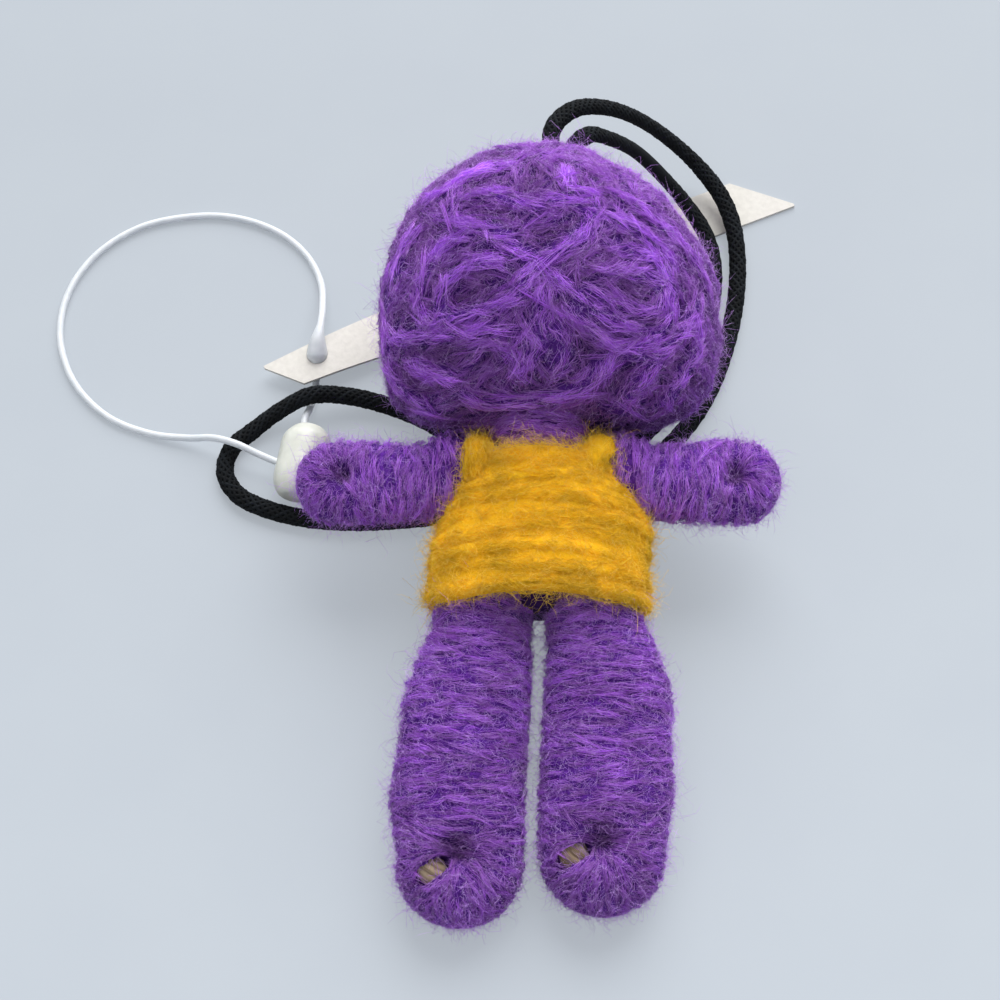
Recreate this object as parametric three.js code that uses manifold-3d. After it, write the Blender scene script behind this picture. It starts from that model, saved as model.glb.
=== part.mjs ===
// A wool-wound string doll lying on its front, with its hanging cord and a blank hang tag.
// Doll axes: X across the shoulders, Y up the body from the hem, Z out of the back. Millimetres.
import * as THREE from 'three';
import { mergeVertices } from 'three/addons/utils/BufferGeometryUtils.js';
import Module from 'manifold-3d';

const wasm = await Module();
wasm.setup();

// Fits
const FIT = 0.3; // gap between pieces that touch in the real doll
const REST_FLAT = 0.5; // depth pressed flat where the doll lies on the table

// Head
const HEAD_HALF_WIDTH = 18.75;
const HEAD_HALF_HEIGHT = 16.2;
const HEAD_HALF_DEPTH = 16.8;
const HEAD_CHEEKS = -0.22; // height of the widest part over the middle, as a share of the half height
const HEAD_FULLNESS = 3.8; // 2 is a plain ellipse; more fills out the cheeks below the widest part
const HEAD_TOP_SHIFT = -1.25; // the crown sits back towards the middle of the body
const HEAD_YARN_DEPTH = 4.5; // yarn wound over the ball core
const HEAD_LEAN = 1.4; // the soft neck lets the head sit to one side
const HEAD_SWING = 8; // degrees that the head tips each way

// Face
const EYE_RADIUS = 1.9;
const EYE_SPREAD = 8.8; // from the middle of the face
const EYE_RISE = -1.5;
const MOUTH_DROP = 9;
const MOUTH_HALF_WIDTH = 4;
const MOUTH_THREAD = 0.8;

// Dress
const DRESS_YARN = 1.4;
const DRESS_PITCH = 1.84;
const DRESS_TURNS = 8;
const HEM_RISE = -0.4; // middle of the lowest turn above the hem line
const DRESS_BOW = 0.8; // the turns ride up over the back and the chest
const SKIRT_EASE = 0.25; // room between the hips and the skirt
const SKIRT_FULLNESS = 1.7; // how far the skirt stands off the hips, front and back
const CHEST_HALF_WIDTH = 9.5;
const COLLAR_HALF_WIDTH = 6.7;
const COLLAR_HALF_DEPTH = 6.2;
const STRAP_YARN = 2.2;
const STRAP_SPREAD = 6.5;
const STRAP_DROP = 2.6; // sewn ends below the top of the dress
const STRAP_RISE = 2.5; // top of the shoulder above the dress

// Neck
const NECK_RISE = 4.8; // from the top of the dress to the pivot of the head
const NECK_RADIUS = 5.4;

// Twine inside the body
const SPINE_TWINE = 2.5;
const SHOULDER_TWINE = 2.2;
const SHOULDER_HALF_LENGTH = 3;

// Arms
const ARM_DROP = 1.1; // arm axis below the top of the dress
const ARM_ROOT_RADIUS = 4;
const ARM_LENGTH = 8.2; // pivot to the middle of the hand
const HAND_HALF_WIDTH = 4.6;
const HAND_HALF_DEPTH = 4.2;
const ARM_TWINE = 1.8;
const HAND_LOOP_RADIUS = 2;

// Legs
const LEG_DROP = 2.2; // hip pivot below the hem
const LEG_GAP = 1.4; // between the legs
const HIP_RADIUS = 4.6;
const LEG_FULLNESS = 2.4; // how quickly the thigh swells below the hip
const CALF_HALF_WIDTH = 6.9;
const FOOT_HALF_WIDTH = 6.6;
const FOOT_HALF_DEPTH = 5.2;
const LEG_LENGTH = 24.6; // pivot to the middle of the foot
const LEG_TWINE = 2.8;
const FOOT_LOOP_RADIUS = 3.3;
const FOOT_LOOP_RISE = 1.6; // the loop lies towards the back, under a thin layer of wool

// Hanging cord and its knot
const CORD_DIAMETER = 2;
const CORD_STRAND_SPACING = 2.7;
const KNOT_SHIFT = 1.2; // the cord leaves a little to one side of the crown
const KNOT_RADIUS = 2.6;
const KNOT_DEPTH = 2.6; // top of the knot below the crown

// Hang tag
const TAG_LENGTH = 61.5;
const TAG_WIDTH = 5.8;
const TAG_SLANT = 5.7; // set back of the far end, across the strip
const TAG_NOSE = 3.4; // reach of the near end past its lower corner
const TAG_NOSE_DROP = 1.9; // of the nose below the upper edge
const TAG_THICKNESS = 0.4;
const TAG_HOLE_RADIUS = 1.2;
const TAG_HOLE_INSET = 2.7;
const TAG_LIFT = 1.5; // height at which the loop holds the near end
const TAG_SAG_LENGTH = 22; // length over which the strip comes down to the table
const LOOP_DIAMETER = 0.8;
const LOCK_RADIUS = 2.5;
const LOCK_LENGTH = 8.4;

const WOOL = { roughness: 0.95, metalness: 0 };
const PURPLE = { color: 0x6e3a9e, ...WOOL };
const YELLOW = { color: 0xe0a51c, ...WOOL };
const TWINE = { color: 0xa08058, ...WOOL };

const v3 = (x, y, z) => new THREE.Vector3(x, y, z);
const degrees = THREE.MathUtils.degToRad;

// Solids and geometry
function solidOf(geometry) {
  const bare = geometry.index ? geometry.toNonIndexed() : geometry.clone();
  bare.deleteAttribute('normal');
  bare.deleteAttribute('uv');
  const welded = mergeVertices(bare, 1e-4);
  return new wasm.Manifold(new wasm.Mesh({
    numProp: 3,
    vertProperties: welded.attributes.position.array,
    triVerts: new Uint32Array(welded.index.array),
  }));
}

function geometryOf(solid) {
  const mesh = solid.getMesh();
  const geometry = new THREE.BufferGeometry();
  geometry.setAttribute('position', new THREE.BufferAttribute(new Float32Array(mesh.vertProperties), 3));
  geometry.setIndex(new THREE.BufferAttribute(new Uint32Array(mesh.triVerts), 1));
  return geometry;
}

function cut(geometry, ...tools) {
  return geometryOf(tools.reduce((left, tool) => left.subtract(solidOf(tool)), solidOf(geometry)));
}

function ellipsoid(centre, halfSizes, across, up) {
  const geometry = new THREE.SphereGeometry(1, across, up);
  geometry.scale(halfSizes.x, halfSizes.y, halfSizes.z);
  return geometry.translate(centre.x, centre.y, centre.z);
}

function cylinder(centre, radius, height, sides) {
  return new THREE.CylinderGeometry(radius, radius, height, sides).translate(centre.x, centre.y, centre.z);
}

function tube(points, diameter, steps, sides) {
  const outline = new THREE.Shape();
  for (let i = 0; i < sides; i += 1) {
    const turn = (2 * Math.PI * i) / sides;
    const x = (diameter / 2) * Math.cos(turn);
    const y = (diameter / 2) * Math.sin(turn);
    if (i === 0) outline.moveTo(x, y);
    else outline.lineTo(x, y);
  }
  const path = new THREE.CatmullRomCurve3(points, false, 'centripetal');
  path.arcLengthDivisions = 6 * points.length;
  return new THREE.ExtrudeGeometry(outline, { steps, extrudePath: path });
}

// A closed body through elliptical rings, each { centre, across, deep }, with pointed ends.
function loft(rings, sides) {
  const positions = [];
  const faces = [];
  const first = rings[0].centre;
  const last = rings[rings.length - 1].centre;
  positions.push(first.x, first.y, first.z, last.x, last.y, last.z);
  for (const { centre, across, deep } of rings) {
    for (let i = 0; i < sides; i += 1) {
      const turn = (2 * Math.PI * i) / sides;
      const point = centre.clone();
      point.addScaledVector(across, Math.cos(turn));
      point.addScaledVector(deep, Math.sin(turn));
      positions.push(point.x, point.y, point.z);
    }
  }
  const vertex = (ring, side) => 2 + ring * sides + (side % sides);
  for (let i = 0; i < sides; i += 1) {
    faces.push(0, vertex(0, i), vertex(0, i + 1));
    faces.push(1, vertex(rings.length - 1, i + 1), vertex(rings.length - 1, i));
    for (let ring = 0; ring + 1 < rings.length; ring += 1) {
      faces.push(vertex(ring, i), vertex(ring + 1, i), vertex(ring + 1, i + 1));
      faces.push(vertex(ring, i), vertex(ring + 1, i + 1), vertex(ring, i + 1));
    }
  }
  const geometry = new THREE.BufferGeometry();
  geometry.setAttribute('position', new THREE.Float32BufferAttribute(positions, 3));
  geometry.setIndex(faces);
  return geometry;
}

// A wound yarn: its ends run straight for one diameter, and its least gap to itself is printed.
function winding(name, turn, turns, stepsPerTurn, diameter, sides) {
  const count = Math.round(turns * stepsPerTurn);
  const points = Array.from({ length: count + 1 }, (_, i) => turn((i / count) * turns));
  const lead = points[0].clone().sub(points[1]).setLength(diameter).add(points[0]);
  const tail = points[count].clone().sub(points[count - 1]).setLength(diameter).add(points[count]);
  let least = Infinity;
  points.forEach((p, i) => {
    for (let j = i + Math.round(stepsPerTurn / 2); j <= count; j += 1) {
      least = Math.min(least, p.distanceTo(points[j]) - diameter);
    }
  });
  console.log(`${name}: least gap to itself ${least.toFixed(2)} mm`);
  return tube([lead, ...points, tail], diameter, count + 2, sides);
}

function mesh(name, geometry, material) {
  const made = new THREE.Mesh(geometry, new THREE.MeshStandardMaterial(material));
  made.name = name;
  return made;
}

// Dress sections: half width and half depth of the yarn's middle line at a height above the hem
const hipX = LEG_GAP / 2 + HIP_RADIUS;
const dressBottom = HEM_RISE;
const dressTop = dressBottom + DRESS_PITCH * DRESS_TURNS;
const hemHalfWidth = hipX + HIP_RADIUS + SKIRT_EASE + DRESS_YARN / 2;
const hemHalfDepth = HIP_RADIUS + SKIRT_FULLNESS + DRESS_YARN / 2;
const dressSections = new THREE.CatmullRomCurve3([
  v3(hemHalfWidth, hemHalfDepth, 0),
  v3(hemHalfWidth, hemHalfDepth, 0),
  v3(CHEST_HALF_WIDTH, hemHalfDepth - 0.1, 0),
  v3(COLLAR_HALF_WIDTH, COLLAR_HALF_DEPTH, 0),
]);

function dressSection(y) {
  const up = THREE.MathUtils.clamp((y - dressBottom) / (dressTop - dressBottom), 0, 1);
  return dressSections.getPoint(up);
}

// Main points of the doll
const armY = dressTop - ARM_DROP;
const neckPivot = v3(0, dressTop + NECK_RISE, 0);
const headCentre = v3(HEAD_LEAN, neckPivot.y + HEAD_HALF_HEIGHT, 0);
const headHalf = v3(HEAD_HALF_WIDTH, HEAD_HALF_HEIGHT, HEAD_HALF_DEPTH);
const footY = -LEG_DROP - LEG_LENGTH;

// The arm's round root clears every turn of the dress.
let armPivotX = 0;
for (let y = armY - ARM_ROOT_RADIUS; y <= armY + ARM_ROOT_RADIUS; y += 0.25) {
  const reach = Math.sqrt(Math.max(ARM_ROOT_RADIUS ** 2 - (y - armY) ** 2, 0));
  const side = dressSection(y).x + DRESS_YARN / 2 + FIT;
  armPivotX = Math.max(armPivotX, side + reach);
}

// The doll lies on its face and its toes, so the tilt of the body comes from their depths.
let tilt = 0;
let headReach = HEAD_HALF_DEPTH;
for (let pass = 0; pass < 20; pass += 1) {
  headReach = Math.hypot(HEAD_HALF_HEIGHT * Math.sin(tilt), HEAD_HALF_DEPTH * Math.cos(tilt));
  tilt = Math.asin((headReach - FOOT_HALF_DEPTH) / (headCentre.y - footY));
}
const lift = headReach - REST_FLAT - headCentre.y * Math.sin(tilt);
const upright = v3(0, Math.sin(tilt), Math.cos(tilt));

function tableBlock() {
  const block = new THREE.BoxGeometry(300, 300, 40).translate(0, 0, -20 - lift);
  return block.rotateX(-tilt);
}

// Head
const crown = v3(headCentre.x + KNOT_SHIFT, headCentre.y + HEAD_HALF_HEIGHT, 0);
const knotTop = crown.y - KNOT_DEPTH;
const knotCentre = v3(crown.x, knotTop - KNOT_RADIUS / 2, 0);
const neckTwineFoot = neckPivot.y + 0.5;
const neckTwineHead = headCentre.y - HEAD_HALF_HEIGHT / 3;
const neckTwineCentre = v3(0, (neckTwineFoot + neckTwineHead) / 2, 0);

// Half width of the head at a height from -1 to 1, as a share of its widest.
function headWidthAt(height) {
  const power = height < HEAD_CHEEKS ? HEAD_FULLNESS : 2;
  const end = height < HEAD_CHEEKS ? -1 : 1;
  const part = (height - HEAD_CHEEKS) / (end - HEAD_CHEEKS);
  return (1 - Math.min(part, 1) ** power) ** (1 / power);
}

// How far the head's middle is shifted sideways at that height.
function headShiftAt(height) {
  return HEAD_TOP_SHIFT * THREE.MathUtils.smoothstep(height, HEAD_CHEEKS, 1 + HEAD_CHEEKS);
}

function headSolid(grow, across, up) {
  const geometry = new THREE.SphereGeometry(1, across, up);
  const points = geometry.getAttribute('position');
  const half = headHalf.clone().addScalar(grow);
  for (let i = 0; i < points.count; i += 1) {
    const height = THREE.MathUtils.clamp(points.getY(i), -1, 1);
    const round = Math.sqrt(1 - height ** 2);
    const across = round > 1e-3 ? (points.getX(i) * headWidthAt(height)) / round : 0;
    points.setXYZ(i, across * half.x + headShiftAt(height), height * half.y, points.getZ(i) * half.z);
  }
  return geometry.translate(headCentre.x, headCentre.y, headCentre.z);
}

function neckBore() {
  const centre = v3(0, (neckTwineHead + neckPivot.y) / 2, 0);
  return cylinder(centre, SPINE_TWINE / 2 + FIT, neckTwineHead - neckPivot.y + 2 * FIT + 4, 16);
}

function knotBore() {
  const floor = knotCentre.y - KNOT_RADIUS - FIT;
  return cylinder(v3(crown.x, floor + 10, 0), KNOT_RADIUS + FIT, 20, 16);
}

function makeHead() {
  const pieces = [];
  const inside = -HEAD_YARN_DEPTH;
  const wound = cut(headSolid(0, 28, 18), headSolid(inside, 18, 12), neckBore(), knotBore(), tableBlock());
  pieces.push(mesh('head_winding', wound, PURPLE));
  const core = cut(headSolid(inside - FIT, 18, 12), neckBore(), knotBore());
  pieces.push(mesh('head_core', core, { color: 0xe9e6df, roughness: 0.8, metalness: 0 }));
  const neck = cylinder(neckTwineCentre, SPINE_TWINE / 2, neckTwineHead - neckTwineFoot, 12);
  pieces.push(mesh('neck_twine', neck, TWINE));
  const knot = cut(
    ellipsoid(knotCentre, v3(KNOT_RADIUS, KNOT_RADIUS, KNOT_RADIUS), 12, 8),
    new THREE.BoxGeometry(20, 20, 20).translate(crown.x, knotTop + 10, 0),
  );
  pieces.push(mesh('cord_knot', knot, { color: 0x0d1012, roughness: 0.8, metalness: 0 }));
  return pieces;
}

// A point on the face, at a distance across and up from its middle.
function onFace(across, up) {
  const height = up / HEAD_HALF_HEIGHT;
  const round = Math.sqrt(1 - (across / (HEAD_HALF_WIDTH * headWidthAt(height))) ** 2);
  const depth = HEAD_HALF_DEPTH * Math.sqrt(1 - height ** 2) * round;
  return v3(headCentre.x + headShiftAt(height) + across, headCentre.y + up, -depth);
}

function makeFace() {
  const bead = { color: 0x101012, roughness: 0.25, metalness: 0 };
  const pieces = [];
  for (const [name, side] of [['left_eye', -1], ['right_eye', 1]]) {
    const centre = onFace(side * EYE_SPREAD, EYE_RISE).add(v3(0, 0, 0.8));
    const eye = ellipsoid(centre, v3(EYE_RADIUS, EYE_RADIUS, EYE_RADIUS), 14, 10);
    pieces.push(mesh(name, cut(eye, headSolid(FIT, 28, 18)), bead));
  }
  const stitches = [-1, -0.5, 0, 0.5, 1].map((step) => {
    const point = onFace(step * MOUTH_HALF_WIDTH, -MOUTH_DROP);
    const outward = point.clone().sub(headCentre).divide(headHalf).divide(headHalf).normalize();
    return point.addScaledVector(outward, MOUTH_THREAD / 2 + FIT);
  });
  pieces.push(mesh('mouth_thread', tube(stitches, MOUTH_THREAD, 10, 6), { color: 0x101012, ...WOOL }));
  return pieces;
}

// Body
const torsoBottom = HIP_RADIUS - LEG_DROP + FIT;
const torsoTop = dressTop + 0.3;
const shoulderCentre = v3(0, armY, (SPINE_TWINE + SHOULDER_TWINE) / 2 + FIT);

function shoulderBar(diameter, length) {
  const bar = new THREE.CylinderGeometry(diameter / 2, diameter / 2, length, 12);
  return bar.rotateZ(Math.PI / 2).translate(0, shoulderCentre.y, shoulderCentre.z);
}

function makeTorso() {
  const rings = [];
  const steps = 9;
  for (let i = 0; i <= steps; i += 1) {
    const y = torsoTop + ((torsoBottom - torsoTop) * i) / steps;
    const section = dressSection(y).subScalar(DRESS_YARN / 2 + FIT);
    const round = i === 0 || i === steps ? 0.86 : 1;
    rings.push({ centre: v3(0, y, 0), across: v3(-section.x * round, 0, 0), deep: v3(0, 0, section.y * round) });
  }
  const bottom = torsoBottom + 1;
  const top = neckPivot.y - 0.5;
  const spineCentre = v3(0, (bottom + top) / 2, 0);
  const padding = cut(
    loft(rings, 20),
    cylinder(spineCentre.clone().add(v3(0, 2, 0)), SPINE_TWINE / 2 + FIT, top - bottom + 4.6, 12),
    shoulderBar(SHOULDER_TWINE + 2 * FIT, 2 * SHOULDER_HALF_LENGTH + 2 * FIT),
  );
  return [
    mesh('torso_padding', padding, PURPLE),
    mesh('spine_twine', cylinder(spineCentre, SPINE_TWINE / 2, top - bottom, 12), TWINE),
    mesh('shoulder_twine', shoulderBar(SHOULDER_TWINE, 2 * SHOULDER_HALF_LENGTH), TWINE),
  ];
}

function makeDress() {
  const turn = (turns) => {
    const angle = 2 * Math.PI * turns;
    const y = dressBottom + DRESS_PITCH * turns;
    const section = dressSection(y);
    return v3(section.x * Math.cos(angle), y + DRESS_BOW * Math.sin(angle) ** 2, section.y * Math.sin(angle));
  };
  const pieces = [mesh('dress_winding', winding('dress', turn, DRESS_TURNS, 22, DRESS_YARN, 6), YELLOW)];
  const stand = DRESS_YARN / 2 + FIT + STRAP_YARN / 2;
  const section = dressSection(dressTop).addScalar(stand + 0.3);
  const backZ = section.y * Math.sqrt(1 - (STRAP_SPREAD / section.x) ** 2);
  for (const [name, side] of [['left_strap', -1], ['right_strap', 1]]) {
    const half = [
      v3(0, dressTop - STRAP_DROP, backZ + 0.9),
      v3(0, dressTop - STRAP_DROP / 3, backZ + 0.5),
      v3(side * 0.2, dressTop + 0.36 * STRAP_RISE, backZ - 0.6),
      v3(side * 0.4, dressTop + 0.88 * STRAP_RISE, backZ / 2),
    ].map((p) => p.add(v3(side * STRAP_SPREAD, 0, 0)));
    const front = half.map((p) => v3(p.x, p.y, -p.z)).reverse();
    const top = v3(side * (STRAP_SPREAD + 0.4), dressTop + STRAP_RISE, 0);
    pieces.push(mesh(name, tube([...half, top, ...front], STRAP_YARN, 14, 8), YELLOW));
  }
  return pieces;
}

// The neck's lump of wool is hollowed so that the head can tip on it.
function makeNeck() {
  const inner = SPINE_TWINE / 2 + FIT;
  const bottom = torsoTop + FIT;
  const profile = [[inner, bottom], [NECK_RADIUS - 0.8, bottom], [NECK_RADIUS, bottom + 1.2],
    [NECK_RADIUS, bottom + 3], [NECK_RADIUS - 1.4, bottom + 6], [inner, bottom + 6], [inner, bottom]];
  const lump = new THREE.LatheGeometry(profile.map(([r, y]) => new THREE.Vector2(r, y)), 18);
  const sweep = [-1, -0.5, 0, 0.5, 1].map((step) => {
    const head = headSolid(FIT, 28, 18).translate(0, -neckPivot.y, 0);
    head.applyMatrix4(new THREE.Matrix4().makeRotationAxis(upright, degrees(step * HEAD_SWING)));
    return head.translate(0, neckPivot.y, 0);
  });
  return [mesh('neck_winding', cut(lump, ...sweep), PURPLE)];
}

// Limbs lie in the plane of the body. Each is measured along its axis from its pivot.
function makeLimb({ name, axis, sizes, length, rootRadius, twine, loopRadius, loopRise, slots }) {
  const [tipAcross, tipDeep] = sizes(1);
  const frame = (s) => {
    const t = THREE.MathUtils.clamp(s / length, 0, 1);
    const along = axis.getTangent(t);
    const centre = axis.getPoint(t).addScaledVector(along, s - t * length);
    return { centre, along, across: v3(along.y, -along.x, 0) };
  };
  const ring = (s) => {
    const { centre, across } = frame(s);
    const [halfAcross, halfDeep] = sizes(THREE.MathUtils.clamp(s / length, 0, 1));
    const past = s < 0 ? -s / rootRadius : Math.max(s - length, 0) / tipAcross;
    const round = Math.sqrt(1 - past ** 2);
    return { centre, across: across.multiplyScalar(halfAcross * round), deep: v3(0, 0, halfDeep * round) };
  };
  const rings = [];
  for (const part of [0.98, 0.86, 0.64, 0.34]) rings.push(ring(-part * rootRadius));
  const bodySteps = Math.round(length / 2);
  for (let i = 0; i <= bodySteps; i += 1) rings.push(ring((length * i) / bodySteps));
  for (const part of [0.34, 0.64, 0.86, 0.98]) rings.push(ring(length + part * tipAcross));

  // The twine runs down the limb and turns back in a loop round the dimple.
  const { centre: loopCentre, along, across } = frame(length - loopRadius / 4);
  const onLoop = (angle) => loopCentre.clone().add(v3(0, 0, loopRise))
    .addScaledVector(across, loopRadius * Math.sin(degrees(angle)))
    .addScaledVector(along, -loopRadius * Math.cos(degrees(angle)));
  const route = [];
  for (let s = 0.9 - rootRadius; s < length - loopRadius - 2; s += 1.7) route.push(frame(s).centre);
  for (let angle = 60; angle <= 310; angle += 25) route.push(onLoop(angle));
  const rootEnd = frame(-rootRadius - 1).centre;
  const bore = tube([rootEnd, ...route, onLoop(325)], twine + 2 * FIT, 26, 6);
  const dimple = ellipsoid(
    loopCentre.clone().add(v3(0, 0, tipDeep + 0.2)),
    v3(loopRadius - twine / 2 - FIT, loopRadius - twine / 2 - FIT, tipDeep * 0.52), 12, 8,
  );
  const wool = cut(loft(rings, 20), bore, dimple, tableBlock(), ...slots(onLoop));
  return [mesh(`${name}_twine`, tube(route, twine, 26, 6), TWINE), mesh(`${name}_winding`, wool, PURPLE)];
}

function makeArm(name, side) {
  const pivot = v3(side * armPivotX, armY, 0);
  const hand = v3(side * (armPivotX + ARM_LENGTH), armY, 0);
  const sizes = (t) => [
    THREE.MathUtils.lerp(ARM_ROOT_RADIUS, HAND_HALF_WIDTH, Math.sqrt(t)),
    THREE.MathUtils.lerp(ARM_ROOT_RADIUS, HAND_HALF_DEPTH, t),
  ];
  return makeLimb({
    name, sizes, axis: new THREE.LineCurve3(pivot, hand), length: ARM_LENGTH, rootRadius: ARM_ROOT_RADIUS,
    twine: ARM_TWINE, loopRadius: HAND_LOOP_RADIUS, loopRise: 0, slots: () => [],
  });
}

// Each leg keeps its inner side a constant gap from the other, so its axis follows its own half width.
function makeLeg(name, side, slotAngle) {
  const sizes = (t) => {
    const swell = 1 - (1 - t) ** LEG_FULLNESS;
    const taper = THREE.MathUtils.smoothstep(t, 0.7, 1);
    const across = THREE.MathUtils.lerp(HIP_RADIUS, CALF_HALF_WIDTH, swell);
    return [
      across - (CALF_HALF_WIDTH - FOOT_HALF_WIDTH) * taper,
      THREE.MathUtils.lerp(HIP_RADIUS, FOOT_HALF_DEPTH, swell),
    ];
  };
  const stations = Array.from({ length: 9 }, (_, i) => {
    const x = LEG_GAP / 2 + sizes(i / 8)[0];
    return v3(side * x, -LEG_DROP - (LEG_LENGTH * i) / 8, 0);
  });
  const axis = new THREE.CatmullRomCurve3(stations);
  const slot = (onLoop) => {
    const centre = onLoop(slotAngle, 0);
    const middle = onLoop(slotAngle, 0).add(onLoop(slotAngle + 180, 0)).multiplyScalar(0.5);
    const outward = centre.clone().sub(middle);
    const gap = new THREE.BoxGeometry(3.4, 1.5, 9).translate(0, 0, 4.5);
    gap.rotateZ(Math.atan2(outward.y, outward.x));
    return [gap.translate(centre.x, centre.y, 0.2)];
  };
  return makeLimb({
    name, sizes, axis, length: LEG_LENGTH, rootRadius: HIP_RADIUS,
    twine: LEG_TWINE, loopRadius: FOOT_LOOP_RADIUS, loopRise: FOOT_LOOP_RISE, slots: slot,
  });
}

const doll = new THREE.Group();
doll.rotation.x = tilt;
doll.position.z = lift;
doll.add(
  ...makeHead(), ...makeFace(), ...makeTorso(), ...makeNeck(), ...makeDress(),
  ...makeArm('left_arm', -1), ...makeArm('right_arm', 1),
  ...makeLeg('left_leg', -1, 126), ...makeLeg('right_leg', 1, 116),
);
doll.updateMatrixWorld(true);

// The doll stands centred over the origin.
const middle = new THREE.Box3().setFromObject(doll, true).getCenter(v3(0, 0, 0));
doll.position.x = -middle.x;
doll.position.y = -middle.y;
doll.updateMatrixWorld(true);
const onTable = (point) => doll.localToWorld(point.clone());

// Hanging cord, from the knot round under the chest and back, as it was dropped
const CORD_ROUTE = [
  [1.7, 44.2, 19.4], [3.9, 47.3, 18.1], [7.3, 49.7, 15.0], [11.1, 51.1, 10.9], [15.0, 50.9, 6.9],
  [18.5, 49.2, 3.9], [21.2, 46.0, 2.5], [22.6, 42.0, 1.98], [23.0, 37.2, 1.3], [22.5, 31.8, 1.02],
  [21.3, 26.5, 1.02], [19.5, 21.4, 1.02], [17.0, 16.9, 1.02], [13.3, 12.7, 1.02], [8.0, 9.2, 1.02],
  [1.2, 7.2, 1.02], [-6.4, 6.0, 1.02], [-13.6, 5.0, 1.02], [-20.0, 4.6, 1.02], [-25.6, 5.0, 1.02],
  [-30.4, 6.3, 1.02], [-33.4, 8.0, 1.02], [-34.9, 10.7, 1.02], [-34.3, 13.6, 1.02], [-32.0, 15.9, 1.05],
  [-28.9, 18.0, 2.0], [-25.5, 19.4, 2.9], [-21.3, 19.8, 1.9], [-16.8, 19.0, 1.05], [-12.4, 17.0, 1.02],
  [-8.4, 14.2, 1.02], [-4.2, 11.6, 1.02], [1.0, 10.5, 1.02], [6.6, 11.8, 1.02], [11.2, 14.9, 1.02],
  [14.5, 18.6, 1.02], [16.9, 22.5, 1.02], [18.6, 26.9, 1.02], [19.8, 31.7, 1.05], [20.2, 36.4, 1.8],
  [19.4, 40.2, 2.7], [17.3, 43.2, 4.3], [14.3, 45.3, 7.4], [11.0, 45.9, 11.8], [7.9, 45.0, 15.8],
  [5.6, 43.7, 18.5],
];

function makeCord() {
  const strandEnd = (side, rise) => onTable(v3(crown.x + (side * CORD_STRAND_SPACING) / 2, knotTop + rise, 0));
  const route = CORD_ROUTE.map(([x, y, z]) => v3(x, y, z));
  const points = [strandEnd(-1, FIT), strandEnd(-1, KNOT_DEPTH), ...route, strandEnd(1, KNOT_DEPTH), strandEnd(1, FIT)];
  const path = new THREE.CatmullRomCurve3(points, false, 'centripetal');
  console.log(`hanging cord: ${path.getLength().toFixed(1)} mm long`);
  return mesh('hanging_cord', tube(points, CORD_DIAMETER, 66, 8), { color: 0x0d1012, roughness: 0.75, metalness: 0 });
}

// Hang tag: a paper strip, its clear plastic loop and the lock that closes the loop
const TAG_END = [-27.57, 24.11, 0.03]; // on the table under the raised end, on the strip's middle line
const TAG_TURN = 23.4; // degrees from X
const LOCK_CENTRE = [-26.2, 11.2];
const LOOP_ROUTE = [
  [-26.1, 17.0, 2.2], [-25.8, 18.3, 1.4], [-25.6, 19.5, 0.9], [-25.3, 21.4, 0.5], [-25.15, 23.3, 0.75],
  [-25.1, 25.15, 1.85], [-24.95, 26.9, 2.95], [-24.7, 28.6, 3.1], [-24.7, 31.8, 1.9], [-25.1, 35.2, 0.75],
  [-26.6, 38.6, 0.45], [-29.2, 41.4, 0.45], [-32.8, 43.4, 0.45], [-37.0, 44.4, 0.45], [-41.6, 44.2, 0.45],
  [-46.6, 42.8, 0.45], [-51.3, 39.2, 0.45], [-54.2, 34.0, 0.45], [-54.7, 28.2, 0.45], [-52.7, 22.4, 0.45],
  [-48.6, 18.0, 0.45], [-43.6, 15.8, 0.5], [-39.1, 14.9, 1.2], [-36.2, 14.3, 2.4], [-33.6, 13.3, 2.95],
  [-31.2, 12.2, 2.7],
];

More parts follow.
